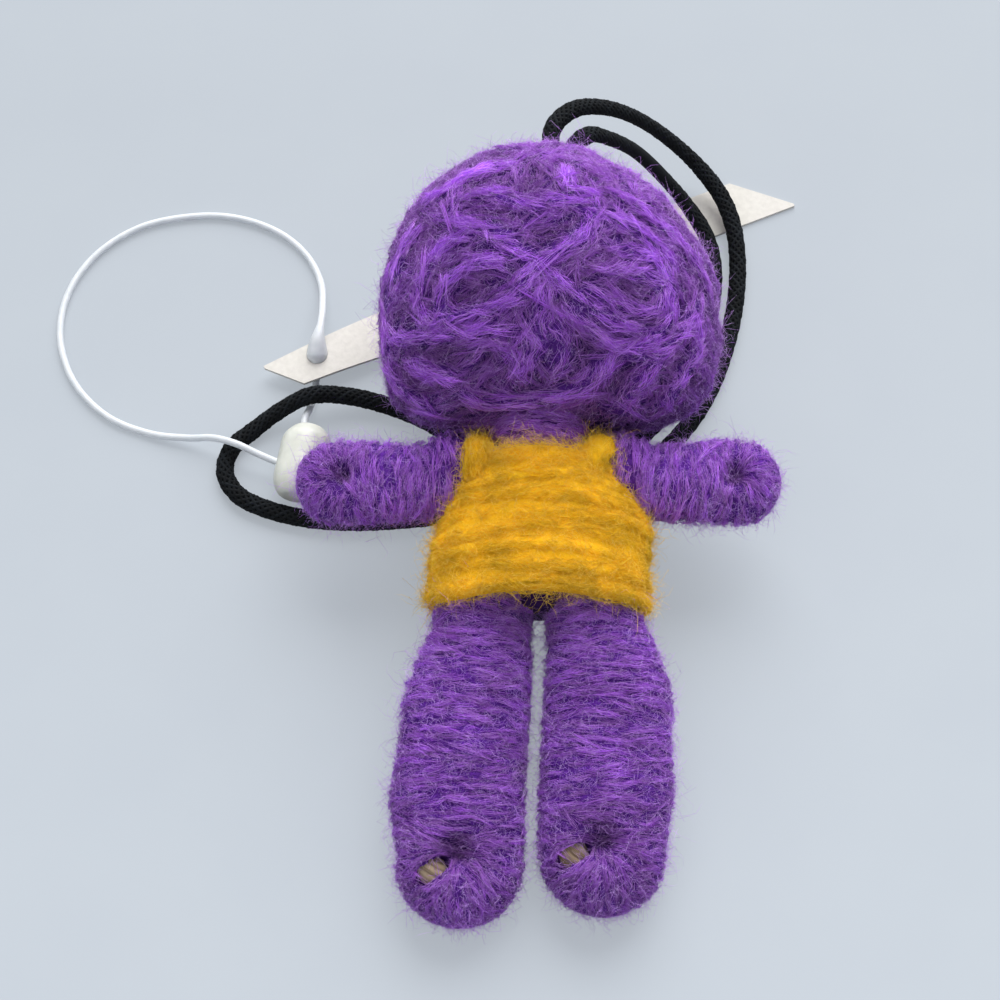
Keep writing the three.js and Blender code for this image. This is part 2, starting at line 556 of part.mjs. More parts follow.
function makeTag() {
  const half = TAG_WIDTH / 2;
  const blunt = 0.3; // width that the points of the card are worn to
  const rise = (t, low, high) => THREE.MathUtils.clamp((t - low) / (high - low), 0, 1);
  const lower = (along) => THREE.MathUtils.lerp(half - TAG_NOSE_DROP - blunt, -half, rise(along, -TAG_NOSE, 0));
  const upper = (along) => half - TAG_NOSE_DROP * (1 - rise(along, -TAG_NOSE, 4 * TAG_NOSE))
    - (TAG_WIDTH - blunt) * rise(along, TAG_LENGTH - TAG_SLANT, TAG_LENGTH);
  const sag = (along) => TAG_LIFT * (1 - THREE.MathUtils.smoothstep(along, TAG_HOLE_INSET, TAG_SAG_LENGTH));
  const stations = [-TAG_NOSE, 0];
  for (let i = 1; i <= 10; i += 1) stations.push((TAG_SAG_LENGTH * i) / 10);
  stations.push(TAG_LENGTH - TAG_SLANT, TAG_LENGTH);
  const strip = loft(stations.map((along) => {
    const width = (upper(along) - lower(along)) / 2;
    return {
      centre: v3(along, (upper(along) + lower(along)) / 2, sag(along) + TAG_THICKNESS / 2),
      across: v3(0, -width, TAG_THICKNESS / 2),
      deep: v3(0, width, TAG_THICKNESS / 2),
    };
  }), 4);
  const hole = cylinder(v3(0, 0, 0), TAG_HOLE_RADIUS, 4, 20).rotateX(Math.PI / 2).translate(TAG_HOLE_INSET, 0, TAG_LIFT);
  const card = mesh('tag_card', cut(strip, hole), { color: 0xf2f2ee, roughness: 0.6, metalness: 0 });
  card.position.set(...TAG_END);
  card.rotation.set(0, 0, degrees(TAG_TURN));

  const lockHalf = LOCK_LENGTH / 2;
  const rest = v3(LOCK_CENTRE[0], LOCK_CENTRE[1], LOCK_RADIUS);
  const profile = [[0, -lockHalf], [1.3, -lockHalf], [LOCK_RADIUS - 0.3, 1 - lockHalf], [LOCK_RADIUS, 2.4 - lockHalf],
    [LOCK_RADIUS, lockHalf - 2], [LOCK_RADIUS - 0.5, lockHalf - 0.7], [1.4, lockHalf], [0, lockHalf]];
  const barrel = new THREE.LatheGeometry(profile.map(([r, y]) => new THREE.Vector2(r, y)), 20);
  const socket = LOOP_DIAMETER / 2 + FIT;
  const endSocket = cylinder(v3(0, lockHalf, 0), socket, 3, 10);
  const sideSocket = cylinder(v3(0, 0, 0), socket, 3, 10).rotateZ(Math.PI / 2).translate(-LOCK_RADIUS, 0, 0);
  const lock = mesh('tag_lock', cut(barrel, endSocket, sideSocket), { color: 0xeef0f0, roughness: 0.35, metalness: 0 });
  lock.position.copy(rest);

  const points = [
    rest.clone().add(v3(0, lockHalf - 1.2, 0)),
    rest.clone().add(v3(0, lockHalf, 0)),
    ...LOOP_ROUTE.map(([x, y, z]) => v3(x, y, z)),
    rest.clone().add(v3(-LOCK_RADIUS, 0, 0)),
    rest.clone().add(v3(1.2 - LOCK_RADIUS, 0, 0)),
  ];
  const path = new THREE.CatmullRomCurve3(points, false, 'centripetal');
  console.log(`tag loop: ${path.getLength().toFixed(1)} mm long`);
  const loop = mesh('tag_loop', tube(points, LOOP_DIAMETER, 56, 8), { color: 0xdfe6ea, roughness: 0.2, metalness: 0 });
  return [card, lock, loop];
}

const part = new THREE.Group();
part.add(doll, makeCord(), ...makeTag());

// Pivots of the joints in the part's frame
for (const [name, pivot] of [
  ['neck', neckPivot], ['shoulder', v3(armPivotX, armY, 0)], ['hip', v3(hipX, -LEG_DROP, 0)],
]) {
  console.log(`${name} pivot: ${onTable(pivot).toArray().map((x) => x.toFixed(2)).join(', ')}`);
}

export default part;
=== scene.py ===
"""A wool-wound string doll lying on its front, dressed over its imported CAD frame.

The doll's own axes are those of the CAD source: X across the shoulders, Y up the body from the hem, Z out of
the back, in millimetres. Each piece is built in those axes or in the row frame's, and is placed in the row
frame in metres.
"""
import logging
import math
from dataclasses import dataclass
from enum import Enum
from typing import Any, Callable, Sequence

import bpy
import numpy as np
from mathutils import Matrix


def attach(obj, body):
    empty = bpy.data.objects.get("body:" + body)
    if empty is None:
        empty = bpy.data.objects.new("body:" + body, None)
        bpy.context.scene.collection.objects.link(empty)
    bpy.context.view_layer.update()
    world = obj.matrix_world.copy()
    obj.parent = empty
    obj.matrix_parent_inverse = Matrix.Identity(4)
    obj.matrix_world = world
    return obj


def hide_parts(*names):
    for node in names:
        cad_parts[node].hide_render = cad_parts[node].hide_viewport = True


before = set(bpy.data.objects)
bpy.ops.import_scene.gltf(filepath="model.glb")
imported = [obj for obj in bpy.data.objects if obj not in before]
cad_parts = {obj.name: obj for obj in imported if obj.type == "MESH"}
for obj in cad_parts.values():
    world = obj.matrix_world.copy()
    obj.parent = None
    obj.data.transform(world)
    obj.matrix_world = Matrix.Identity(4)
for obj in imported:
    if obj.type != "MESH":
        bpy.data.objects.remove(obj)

Array = np.ndarray
# Takes each fibre's lock, and lengths along, aside and outward, to points and outward directions
Walk = Callable[[Array, Array, Array, Array], tuple[Array, Array]]
MM = 0.001
BACK = np.array([0, 0, 1.0])  # out of the doll's back
TABLE_CLEARANCE = 0.02  # mm that a fibre keeps above the table
BAKE_MAP = "OFBake"  # name of the bake map that the script lays out
TONE = "tone"  # brightness of each point of a fibre or skin: random tone, with painted shade and painted light in it
log = logging.getLogger("doll")


class Body(Enum):
    """The bodies of the frame."""

    TORSO = "torso"
    HEAD = "head"
    LEFT_ARM = "left_arm"
    RIGHT_ARM = "right_arm"
    LEFT_LEG = "left_leg"
    RIGHT_LEG = "right_leg"


class Side(Enum):
    """Left and right as seen from the doll's back."""

    LEFT = -1
    RIGHT = 1


# Numbers and vectors
def unit(vectors: Array) -> Array:
    """Scales vectors along the last axis to a length of one."""
    return vectors / np.maximum(np.linalg.norm(vectors, axis=-1, keepdims=True), 1e-12)


def smooth(low: float, high: float, value: Array) -> Array:
    """Rises smoothly from 0 at low to 1 at high."""
    share = np.clip((value - low) / (high - low), 0, 1)
    return share * share * (3 - 2 * share)


def circle(count: int) -> Array:
    """Divides a full turn into equal angles."""
    return np.linspace(0, 2 * np.pi, count, endpoint=False)


def stacked(*axes: Array) -> Array:
    """Stacks coordinates that broadcast together into points."""
    return np.stack(np.broadcast_arrays(*axes), -1)


def spline(points: Sequence[Sequence[float]], per_span: int) -> Array:
    """Runs a centripetal spline through points.

    Args:
        points: the points, in order.
        per_span: steps between each two of them.

    Returns:
        The curve's points, first and last included.
    """
    knots = np.asarray(points, float)
    ends = (2 * knots[0] - knots[1], 2 * knots[-1] - knots[-2])
    knots = np.vstack([ends[0], knots, ends[1]])
    curve = []
    for a, b, c, d in zip(knots, knots[1:], knots[2:], knots[3:]):
        t1 = np.linalg.norm(b - a) ** 0.5
        t2 = t1 + np.linalg.norm(c - b) ** 0.5
        t3 = t2 + np.linalg.norm(d - c) ** 0.5
        t = np.linspace(t1, t2, per_span, endpoint=False)[:, None]
        ab = (t1 - t) / t1 * a + t / t1 * b
        bc = (t2 - t) / (t2 - t1) * b + (t - t1) / (t2 - t1) * c
        cd = (t3 - t) / (t3 - t2) * c + (t - t2) / (t3 - t2) * d
        abc = (t2 - t) / t2 * ab + t / t2 * bc
        bcd = (t3 - t) / (t3 - t1) * bc + (t - t1) / (t3 - t1) * cd
        curve.append((t2 - t) / (t2 - t1) * abc + (t - t1) / (t2 - t1) * bcd)
    return np.vstack([*curve, knots[-2:-1]])


@dataclass(frozen=True)
class Lie:
    """How the doll lies on the table: tipped forward on its face and its toes."""

    tilt: float = math.radians(10.743)
    rise: float = 9.696
    shift: float = -9.025

    def place(self, points: Array) -> Array:
        """Takes points from the doll's axes to the row frame, both in millimetres."""
        return self.turn(points) + np.array([0, self.shift, self.rise])

    def turn(self, vectors: Array) -> Array:
        """Takes directions from the doll's axes to the row frame."""
        sin, cos = math.sin(self.tilt), math.cos(self.tilt)
        x, y, z = np.moveaxis(vectors, -1, 0)
        return np.stack([x, y * cos - z * sin, y * sin + z * cos], -1)


LIE = Lie()


class Line:
    """A yarn's middle line, evenly spaced, with the direction away from the doll at each point."""

    def __init__(self, points: Array, outward: Array, closed: bool = False, step: float = 0.35) -> None:
        """Spaces the points evenly.

        Args:
            points: points of the line, in millimetres.
            outward: the direction away from the doll at each.
            closed: whether the line runs back into its first point.
            step: spacing in millimetres.
        """
        if closed:
            points, outward = np.vstack([points, points[:1]]), np.vstack([outward, outward[:1]])
        run = np.concatenate([[0], np.cumsum(np.linalg.norm(np.diff(points, axis=0), axis=1))])
        self.total, self.closed = float(run[-1]), closed
        self.spans = max(int(self.total / step), 4)
        even = np.linspace(0, self.total, self.spans + 1)
        self.points = np.stack([np.interp(even, run, points[:, i]) for i in range(3)], 1)
        self.outward = unit(np.stack([np.interp(even, run, outward[:, i]) for i in range(3)], 1))
        self.along = unit(np.gradient(self.points, axis=0))

    def at(self, run: Array) -> tuple[Array, Array, Array]:
        """Gives the line's points, outward and along directions at lengths along it."""
        share = (run % self.total if self.closed else np.clip(run, 0, self.total)) / self.total * self.spans
        first = np.minimum(share.astype(int), self.spans - 1)
        part = (share - first)[..., None]
        tables = (self.points, self.outward, self.along)
        mixed = [each[first] * (1 - part) + each[first + 1] * part for each in tables]
        along = unit(mixed[2])
        outward = unit(mixed[1] - along * (mixed[1] * along).sum(-1, keepdims=True))
        return mixed[0], outward, along

    def rows(self, run: Array, place: Array, width: float, crown: float) -> Walk:
        """Gives the way over a rounded yarn that follows the line.

        Args:
            run: where along the line each lock lies.
            place: how far aside of it each lock lies.
            width: the yarn's width.
            crown: height of the yarn's crown over the line.

        Returns:
            The way.
        """
        def walk(home: Array, along: Array, aside: Array, height: Array) -> tuple[Array, Array]:
            points, outward, ahead = self.at(run[home][:, None] + along)
            across = np.cross(outward, ahead)
            off = np.clip((place[home][:, None] + aside) * 2 / width, -1.2, 1.2)
            dome = np.sqrt(np.clip(1 - 0.9 * off**2, 0.03, 1))
            points = points + across * (off * width / 2)[..., None]
            return points + outward * (crown * dome + height)[..., None], outward

        return walk


@dataclass
class Fibres:
    """Fibres before they become a mesh: points, outward directions, radii and brightness. Millimetres."""

    lines: Array
    outward: Array
    radii: Array
    tone: Array

    def part(self, which: Array) -> "Fibres":
        """Takes some of the fibres."""
        return Fibres(self.lines[which], self.outward[which], self.radii[which], self.tone[which])


@dataclass(frozen=True)
class Locks:
    """Short felted locks, each a few fibres that run together to a point. Millimetres."""

    length: float = 2.8
    width: float = 0.55
    fibres: int = 11  # in one lock
    radius: float = 0.024
    stray: float = 0.25  # radians that a lock strays from its yarn's direction
    bow: float = 0.1  # sideways bow, as a share of the length
    crimp: float = 0.11
    loose: float = 0.3  # share of the locks whose tips stand off
    knots: int = 5

    def lay(self, walk: Walk, level: Array, tone: Array, rng: np.random.Generator) -> Fibres:
        """Lays locks over a surface.

        Args:
            walk: the way over the surface from each lock's place.
            level: height of each lock.
            tone: brightness of each.
            rng: source of their curls.

        Returns:
            Their fibres, those of one lock together.
        """
        locks = len(level)
        home = np.repeat(np.arange(locks), self.fibres)
        count = len(home)
        t = np.linspace(0, 1, self.knots)
        length = (self.length * rng.gamma(7, 1 / 7, locks))[home] * rng.uniform(0.65, 1.2, count)
        along = length[:, None] * (t - 0.5) + rng.normal(0, 0.1 * self.length, count)[:, None]
        gather = 1 - 0.45 * smooth(0.35, 1, t)
        aside = (0.4 * self.width * rng.normal(0, 1, count))[:, None] * gather
        stray = np.tan(np.clip(rng.normal(0, self.stray, locks), -1.1, 1.1))
        aside = aside + stray[home][:, None] * along
        bow = rng.normal(0, self.bow, locks) * self.length
        aside = aside + bow[home][:, None] * (2 * t - 1) ** 2
        phase, curls = rng.uniform(0, 2 * np.pi, count)[:, None], rng.uniform(0.7, 1.7, count)[:, None]
        aside = aside + self.crimp * np.sin(2 * np.pi * curls * t + phase)
        standing = rng.uniform(0, 1, locks) < self.loose
        lift = np.where(standing, rng.uniform(0.1, 0.45, locks), -0.12)[home][:, None]
        height = level[home][:, None] + rng.normal(0, 0.07, count)[:, None] + lift * smooth(0.5, 1, t)
        height = height - 0.3 * (1 - np.minimum(t / 0.35, 1)) ** 2
        height = height + 0.5 * self.crimp * np.cos(2 * np.pi * curls * t + 2 * phase)
        points, outward = walk(home, along, aside, height)
        # Painted shade: each fibre is painted darker at its root, where it lies under the others, and lighter
        # towards its tip; the tone of each lock is random.
        shade = (tone * rng.uniform(0.86, 1.12, locks))[home][:, None] * (0.82 + 0.24 * smooth(0, 0.7, t))
        return Fibres(points, outward, self.radius * rng.uniform(0.75, 1.25, count), shade)


@dataclass(frozen=True)
class Fuzz:
    """Loose hairs that stand off the wool. Millimetres."""

    length: float = 1.05
    standing: float = 0.5  # share of the hairs that stand up
    radius: float = 0.013
    spread: float = 1.0  # radians away from the yarn's own direction
    knots: int = 4

    def grow(self, points: Array, outward: Array, along: Array, rng: np.random.Generator) -> Fibres:
        """Grows one hair from each point.

        Args:
            points: roots of the hairs.
            outward: direction away from the doll at each.
            along: direction of the yarn at each.
            rng: source of the hairs' lengths and curls.

        Returns:
            The hairs.
        """
        count = len(points)
        turn = rng.normal(0, self.spread, count) + np.pi * rng.integers(0, 2, count)
        across = np.cross(outward, along)
        ahead = along * np.cos(turn)[:, None] + across * np.sin(turn)[:, None]
        aside = np.cross(outward, ahead)
        length = self.length * rng.gamma(3.2, 0.31, count)
        standing = rng.uniform(0, 1, count) < self.standing
        rise = length * np.where(standing, rng.uniform(0.3, 1.0, count), rng.uniform(0.1, 0.3, count))
        t = np.linspace(0, 1, self.knots)[None, :]
        bend = rng.uniform(-0.3, 1, count)[:, None]
        reach = length[:, None] * (t - 0.3 * bend * t**2)
        up = rise[:, None] * (t * (1 + bend) - bend * t**2) - 0.15
        phase = rng.uniform(0, 2 * np.pi, count)[:, None]
        curls = rng.uniform(0.4, 1.2, count)[:, None]
        wave = length[:, None] * rng.uniform(0.08, 0.36, count)[:, None]
        sway = wave * (np.sin(2 * np.pi * curls * t + phase) - np.sin(phase))
        up = up + 0.5 * wave * (np.cos(2 * np.pi * curls * t + phase) - np.cos(phase))
        lines = points[:, None] + ahead[:, None] * reach[..., None] + aside[:, None] * sway[..., None]
        lines = lines + outward[:, None] * up[..., None]
        facing = np.broadcast_to(outward[:, None], lines.shape)
        # Painted shade and light: each hair is painted darker at its root and paler towards its tip.
        tone = np.broadcast_to(0.9 + 0.3 * t, lines.shape[:2])
        return Fibres(lines, facing, self.radius * rng.uniform(0.7, 1.3, count), tone)


# Meshes
def piece_of(name: str, mesh: bpy.types.Mesh, material: bpy.types.Material) -> bpy.types.Object:
    """Makes a smooth-shaded object of a mesh in the scene."""
    mesh.materials.append(material)
    mesh.polygons.foreach_set("use_smooth", np.ones(len(mesh.polygons), bool))
    made = bpy.data.objects.new(name, mesh)
    bpy.context.scene.collection.objects.link(made)
    return made


def tube(knots: int, sides: int, pointed: bool) -> tuple[Array, Array, Array]:
    """Lists the faces of a closed tube.

    Args:
        knots: points along its middle line.
        sides: sides round it.
        pointed: whether its ends run to a point, and not to flat caps.

    Returns:
        The faces' corners end to end, the corners of each face, and each corner's place on a unit square.
    """
    faces: list[list[int]] = []
    spots: list[tuple[float, float]] = []
    first, last = (1, knots - 2) if pointed else (0, knots - 1)

    def corner(ring: int, side: int) -> int:
        return first + (ring - first) * sides + side % sides

    for ring in range(first, last):
        low, high = ring / (knots - 1), (ring + 1) / (knots - 1)
        for i in range(sides):
            faces.append([corner(ring, i), corner(ring, i + 1), corner(ring + 1, i + 1), corner(ring + 1, i)])
            spots += [(low, i / sides), (low, (i + 1) / sides), (high, (i + 1) / sides), (high, i / sides)]
    if pointed:
        low, high = 1 / (knots - 1), 1 - 1 / (knots - 1)
        for i in range(sides):
            faces += [[0, corner(first, i + 1), corner(first, i)],
                      [corner(last, sides - 1) + 1, corner(last, i), corner(last, i + 1)]]
            spots += [(0, (i + 0.5) / sides), (low, (i + 1) / sides), (low, i / sides),
                      (1, (i + 0.5) / sides), (high, i / sides), (high, (i + 1) / sides)]
    else:
        faces += [[corner(first, i) for i in range(sides)][::-1], [corner(last, i) for i in range(sides)]]
        spots += [(abs(end - 0.05 * (i % 2)), i / (sides - 1)) for end in (0, 1) for i in range(sides)]
    return np.concatenate(faces), np.array([len(face) for face in faces]), np.array(spots)


class Strands:
    """Gathers fibres into one mesh of thin closed tubes."""

    def __init__(self) -> None:
        """Starts with no fibres."""
        self.groups: list[tuple[Array, tuple[Array, Array, Array]]] = []  # points in metres, and faces
        self.tones: list[Array] = []

    def add(self, fibres: Fibres, sides: int = 3, pointed: bool = True, flat: float = 1.0,
            in_row: bool = False) -> None:
        """Adds fibres.

        Args:
            fibres: the fibres.
            sides: sides of each tube.
            pointed: whether their ends run to a point.
            flat: thickness outward, as a share of the width.
            in_row: whether the points are in the row frame already, and not in the doll's axes.
        """
        lines, outward = fibres.lines, fibres.outward
        radii = fibres.radii if fibres.radii.ndim == 2 else fibres.radii[:, None]
        if not len(lines):
            return
        if not in_row:
            lines, outward = LIE.place(lines), LIE.turn(outward)
        lines = lines.copy()
        lines[..., 2] = np.maximum(lines[..., 2], radii + TABLE_CLEARANCE)
        along = unit(np.gradient(lines, axis=1))
        face = unit(outward - along * (outward * along).sum(-1, keepdims=True) + 1e-9)
        side = np.cross(along, face)
        knots = lines.shape[1]
        t = np.linspace(0, 1, knots)
        taper = np.minimum(np.minimum(t / 0.2, (1 - t) / 0.4), 1) ** 0.6 if pointed else np.ones(knots)
        turn = 2 * np.pi * np.arange(sides) / sides
        ring = flat * face[:, :, None] * np.cos(turn)[:, None] + side[:, :, None] * np.sin(turn)[:, None]
        corners = lines[:, :, None] + ring * (radii * taper)[:, :, None, None]
        corners[..., 2] = np.maximum(corners[..., 2], 0.2 * TABLE_CLEARANCE)
        tone = np.broadcast_to(fibres.tone, lines.shape[:2])
        tone = np.repeat(tone[:, :, None], sides, 2)
        corners, tone = corners.reshape(len(lines), -1, 3), tone.reshape(len(lines), -1)
        if pointed:
            keep = slice(sides - 1, 1 - sides)
            corners, tone = corners[:, keep], tone[:, keep]
        self.groups.append((corners * MM, tube(knots, sides, pointed)))
        self.tones.append(tone.ravel())

    def rope(self, line: Line, radius: float | Array, sides: int = 10, flat: float = 1.0, tone: float = 1.0,
             in_row: bool = False) -> None:
        """Adds one thick strand along a whole line.

        Args:
            line: its middle line.
            radius: its radius, in millimetres, or that at each point.
            sides: sides of the tube.
            flat: thickness outward, as a share of the width.
            tone: brightness.
            in_row: whether the line is in the row frame already.
        """
        each = np.broadcast_to(radius, (1, len(line.points)))
        one = Fibres(line.points[None], line.outward[None], each, np.array([[tone]]))
        self.add(one, sides, False, flat, in_row)

    def build(self, name: str, material: bpy.types.Material) -> bpy.types.Object:
        """Makes the mesh, with a bake map that gives each fibre a cell of its own.

        Args:
            name: the piece's name.
            material: its finish.

        Returns:
            The new object.
        """
        count = sum(len(points) for points, _ in self.groups)
        rows = max(int(math.sqrt(count)), 1)
        columns = -(-count // rows)
        loops, totals, maps = [], [], []
        base = cell = 0
        for points, (corner_of, total, spots) in self.groups:
            fibres, each, _ = points.shape
            loops.append((base + np.arange(fibres)[:, None] * each + corner_of).ravel())
            totals.append(np.tile(total, fibres))
            index = cell + np.arange(fibres)
            corner = np.stack([index % columns, index // columns], -1)[:, None]
            maps.append(((corner + 0.08 + 0.84 * spots) / np.array([columns, rows])).reshape(-1, 2))
            base += fibres * each
            cell += fibres
        corner_of, total = np.concatenate(loops), np.concatenate(totals)
        mesh = bpy.data.meshes.new(name)
        mesh.vertices.add(base)
        places = np.concatenate([points.reshape(-1, 3) for points, _ in self.groups])
        mesh.vertices.foreach_set("co", places.astype(np.float32).ravel())
        mesh.loops.add(len(corner_of))
        mesh.loops.foreach_set("vertex_index", corner_of.astype(np.int32))
        mesh.polygons.add(len(total))
        mesh.polygons.foreach_set("loop_start", (np.cumsum(total) - total).astype(np.int32))
        layer = mesh.uv_layers.new(name=BAKE_MAP)
        layer.uv.foreach_set("vector", np.concatenate(maps).astype(np.float32).ravel())
        mesh.update(calc_edges=True)
        tone = mesh.attributes.new(TONE, "FLOAT", "POINT")
        tone.data.foreach_set("value", np.concatenate(self.tones).astype(np.float32))
        mesh.validate()
        return piece_of(name, mesh, material)


def loft(name: str, rings: Array, material: bpy.types.Material, in_row: bool = False,
         tone: Array | float = 1.0) -> bpy.types.Object:
    """Makes a closed skin through rings of points, with its ends drawn to a point.

    Args:
        name: the piece's name.
        rings: (rings, sides, 3) points in millimetres, each ring turning the same way.
        material: its finish.
        in_row: whether the points are in the row frame already.
        tone: brightness of the points.

    Returns:
        The new object.
    """
    count, sides, _ = rings.shape
    points = np.vstack([rings.reshape(-1, 3), rings[0].mean(0), rings[-1].mean(0)])
    points = points if in_row else LIE.place(points)
    points[:, 2] = np.maximum(points[:, 2], TABLE_CLEARANCE)
    faces = [
        (r * sides + i, r * sides + (i + 1) % sides, (r + 1) * sides + (i + 1) % sides, (r + 1) * sides + i)
        for r in range(count - 1) for i in range(sides)
    ]
    low, high, last = count * sides, count * sides + 1, (count - 1) * sides
    faces += [(low, (i + 1) % sides, i) for i in range(sides)]
    faces += [(high, last + i, last + (i + 1) % sides) for i in range(sides)]
    mesh = bpy.data.meshes.new(name)
    mesh.from_pydata((points * MM).tolist(), [], faces)
    bright = np.broadcast_to(tone, (count, sides))
    bright = np.concatenate([bright.ravel(), bright[:1].mean(1), bright[-1:].mean(1)])
    mesh.attributes.new(TONE, "FLOAT", "POINT").data.foreach_set("value", bright.astype(np.float32))
    mesh.validate()
    return piece_of(name, mesh, material)


def fleece(fibres: Fibres, name: str, material: bpy.types.Material, body: Body, slot: str,
           parts: int = 1) -> None:
    """Makes pieces of wool, each with a share of the fibres.

    Args:
        fibres: the fibres, in order.
        name: name of the pieces.
        material: their finish.
        body: the body they ride on.
        slot: the record's material slot.
        parts: how many pieces.
    """
    for i, which in enumerate(np.array_split(np.arange(len(fibres.lines)), parts)):
        strands = Strands()
        strands.add(fibres.part(which))
        settle(strands.build(name if parts == 1 else f"{name}_{i + 1}", material), body, slot)


def settle(piece: bpy.types.Object, body: Body, slot: str, *nodes: str) -> bpy.types.Object:
    """Puts a piece on its body, hides the CAD nodes that it stands for, and reports it.

    Args:
        piece: the new piece.
        body: the body it rides on.
        slot: not used.
        nodes: CAD nodes that it replaces.

    Returns:
        The piece.
    """
    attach(piece, body.value)
    if nodes:
        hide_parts(*nodes)
    log.info("%s: %d faces, rides on %s", piece.name, len(piece.data.polygons), body.value)
    return piece


# Finishes
def linear(colour: str) -> tuple[float, float, float, float]:
    """Turns an sRGB hex colour into linear RGBA."""
    parts = [int(colour[i:i + 2], 16) / 255 for i in (1, 3, 5)]
    return (*(p / 12.92 if p <= 0.04045 else ((p + 0.055) / 1.055) ** 2.4 for p in parts), 1.0)


def add_node(tree: bpy.types.NodeTree, kind: str, settings: dict[str, Any],
             links: dict[str, Any]) -> bpy.types.Node:
    """Adds a node to a tree.

    Args:
        tree: the material's nodes.
        kind: the node's type name.
        settings: values of its properties and of its unlinked inputs, by name.
        links: the outputs that feed its inputs, by the input's name.

    Returns:
        The new node.
    """
    node = tree.nodes.new(kind)
    for name, value in settings.items():
        if name in node.inputs:
            node.inputs[name].default_value = value
        elif name == "stops":
            ramp = node.color_ramp
            while len(ramp.elements) < len(value):
                ramp.elements.new(0.5)
            for element, (place, colour) in zip(ramp.elements, value):
                element.position, element.color = place, colour
        elif name.isdigit():
            node.inputs[int(name)].default_value = value
        else:
            setattr(node, name, value)
    for name, output in links.items():
        socket = node.inputs[name] if not name.isdigit() else node.inputs[int(name)]
        tree.links.new(output, socket)
    return node


def blank_material(name: str) -> tuple[bpy.types.Material, bpy.types.NodeTree]:
    """Makes a material with an empty node tree."""
    material = bpy.data.materials.new(name)
    material.use_nodes = True
    material.node_tree.nodes.clear()
    return material, material.node_tree


@dataclass(frozen=True)
class WoolFinish:
    """Brushed acrylic yarn: dull, with fibres that differ in shade and a soft bloom at glancing angles."""

    name: str
    dark: str
    body: str
    light: str
    sheen: float = 0.35
    patch_mm: float = 5.0  # size of the dull and bright patches of handled yarn
    patches: tuple[float, float] = (0.82, 1.12)  # how dark and how bright those are
    roughness: tuple[float, float] = (0.78, 0.96)
    toned: bool = True  # whether the mesh says how bright each of its points is, painted shade and painted light included
    felted: bool = False  # whether the mesh is a packed mass and not single fibres
    felt: tuple[float, float] = (0.55, 1.4)  # darkest and palest spots of a packed mass

    def material(self) -> bpy.types.Material:
        """Builds the node material."""
        made, tree = blank_material(self.name)
        island = add_node(tree, "ShaderNodeNewGeometry", {}, {})
        shade = add_node(tree, "ShaderNodeValToRGB", {"stops": [
            (0.0, linear(self.dark)), (0.45, linear(self.body)), (1.0, linear(self.light))]},
            {"Fac": island.outputs["Random Per Island"]})
        place = add_node(tree, "ShaderNodeTexCoord", {}, {})
        patch = add_node(tree, "ShaderNodeTexNoise", {"Scale": 1 / (self.patch_mm * MM), "Detail": 3.0},
                         {"Vector": place.outputs["Object"]})
        level = add_node(tree, "ShaderNodeMapRange", {
            "From Min": 0.3, "From Max": 0.7, "To Min": self.patches[0], "To Max": self.patches[1]},
            {"Value": patch.outputs["Fac"]})
        fluff = add_node(tree, "ShaderNodeTexNoise", {
            "Scale": 1 / ((0.8 if self.felted else 0.5) * MM), "Detail": 6.0 if self.felted else 2.0,
            "Roughness": 0.65, "Distortion": 2.4 if self.felted else 0.0},
            {"Vector": place.outputs["Object"]})
        shades = [level.outputs["Result"]]
        if self.toned:
            shades.append(add_node(tree, "ShaderNodeAttribute", {"attribute_name": TONE}, {}).outputs["Fac"])
        if self.felted:
            shades.append(add_node(tree, "ShaderNodeMapRange", {
                "From Min": 0.3, "From Max": 0.7, "To Min": self.felt[0], "To Max": self.felt[1]},
                {"Value": fluff.outputs["Fac"]}).outputs["Result"])
        worn = shade.outputs["Color"]
        for tone in shades:
            worn = add_node(tree, "ShaderNodeMix", {
                "data_type": "RGBA", "blend_type": "MULTIPLY", "Factor": 1.0},
                {"6": worn, "7": tone}).outputs[2]
        dull = add_node(tree, "ShaderNodeMapRange", {
            "To Min": self.roughness[0], "To Max": self.roughness[1]}, {"Value": fluff.outputs["Fac"]})
        relief = add_node(tree, "ShaderNodeBump", {
            "Strength": 0.8 if self.felted else 0.25, "Distance": (0.3 if self.felted else 0.05) * MM},
            {"Height": fluff.outputs["Fac"]})
        shader = add_node(tree, "ShaderNodeBsdfPrincipled", {
            "Sheen Weight": self.sheen, "Sheen Roughness": 0.45, "Sheen Tint": linear(self.light),
            "Specular IOR Level": 0.2, "IOR": 1.5},
            {"Base Color": worn, "Roughness": dull.outputs["Result"], "Normal": relief.outputs["Normal"]})
        add_node(tree, "ShaderNodeOutputMaterial", {}, {"Surface": shader.outputs["BSDF"]})
        return made


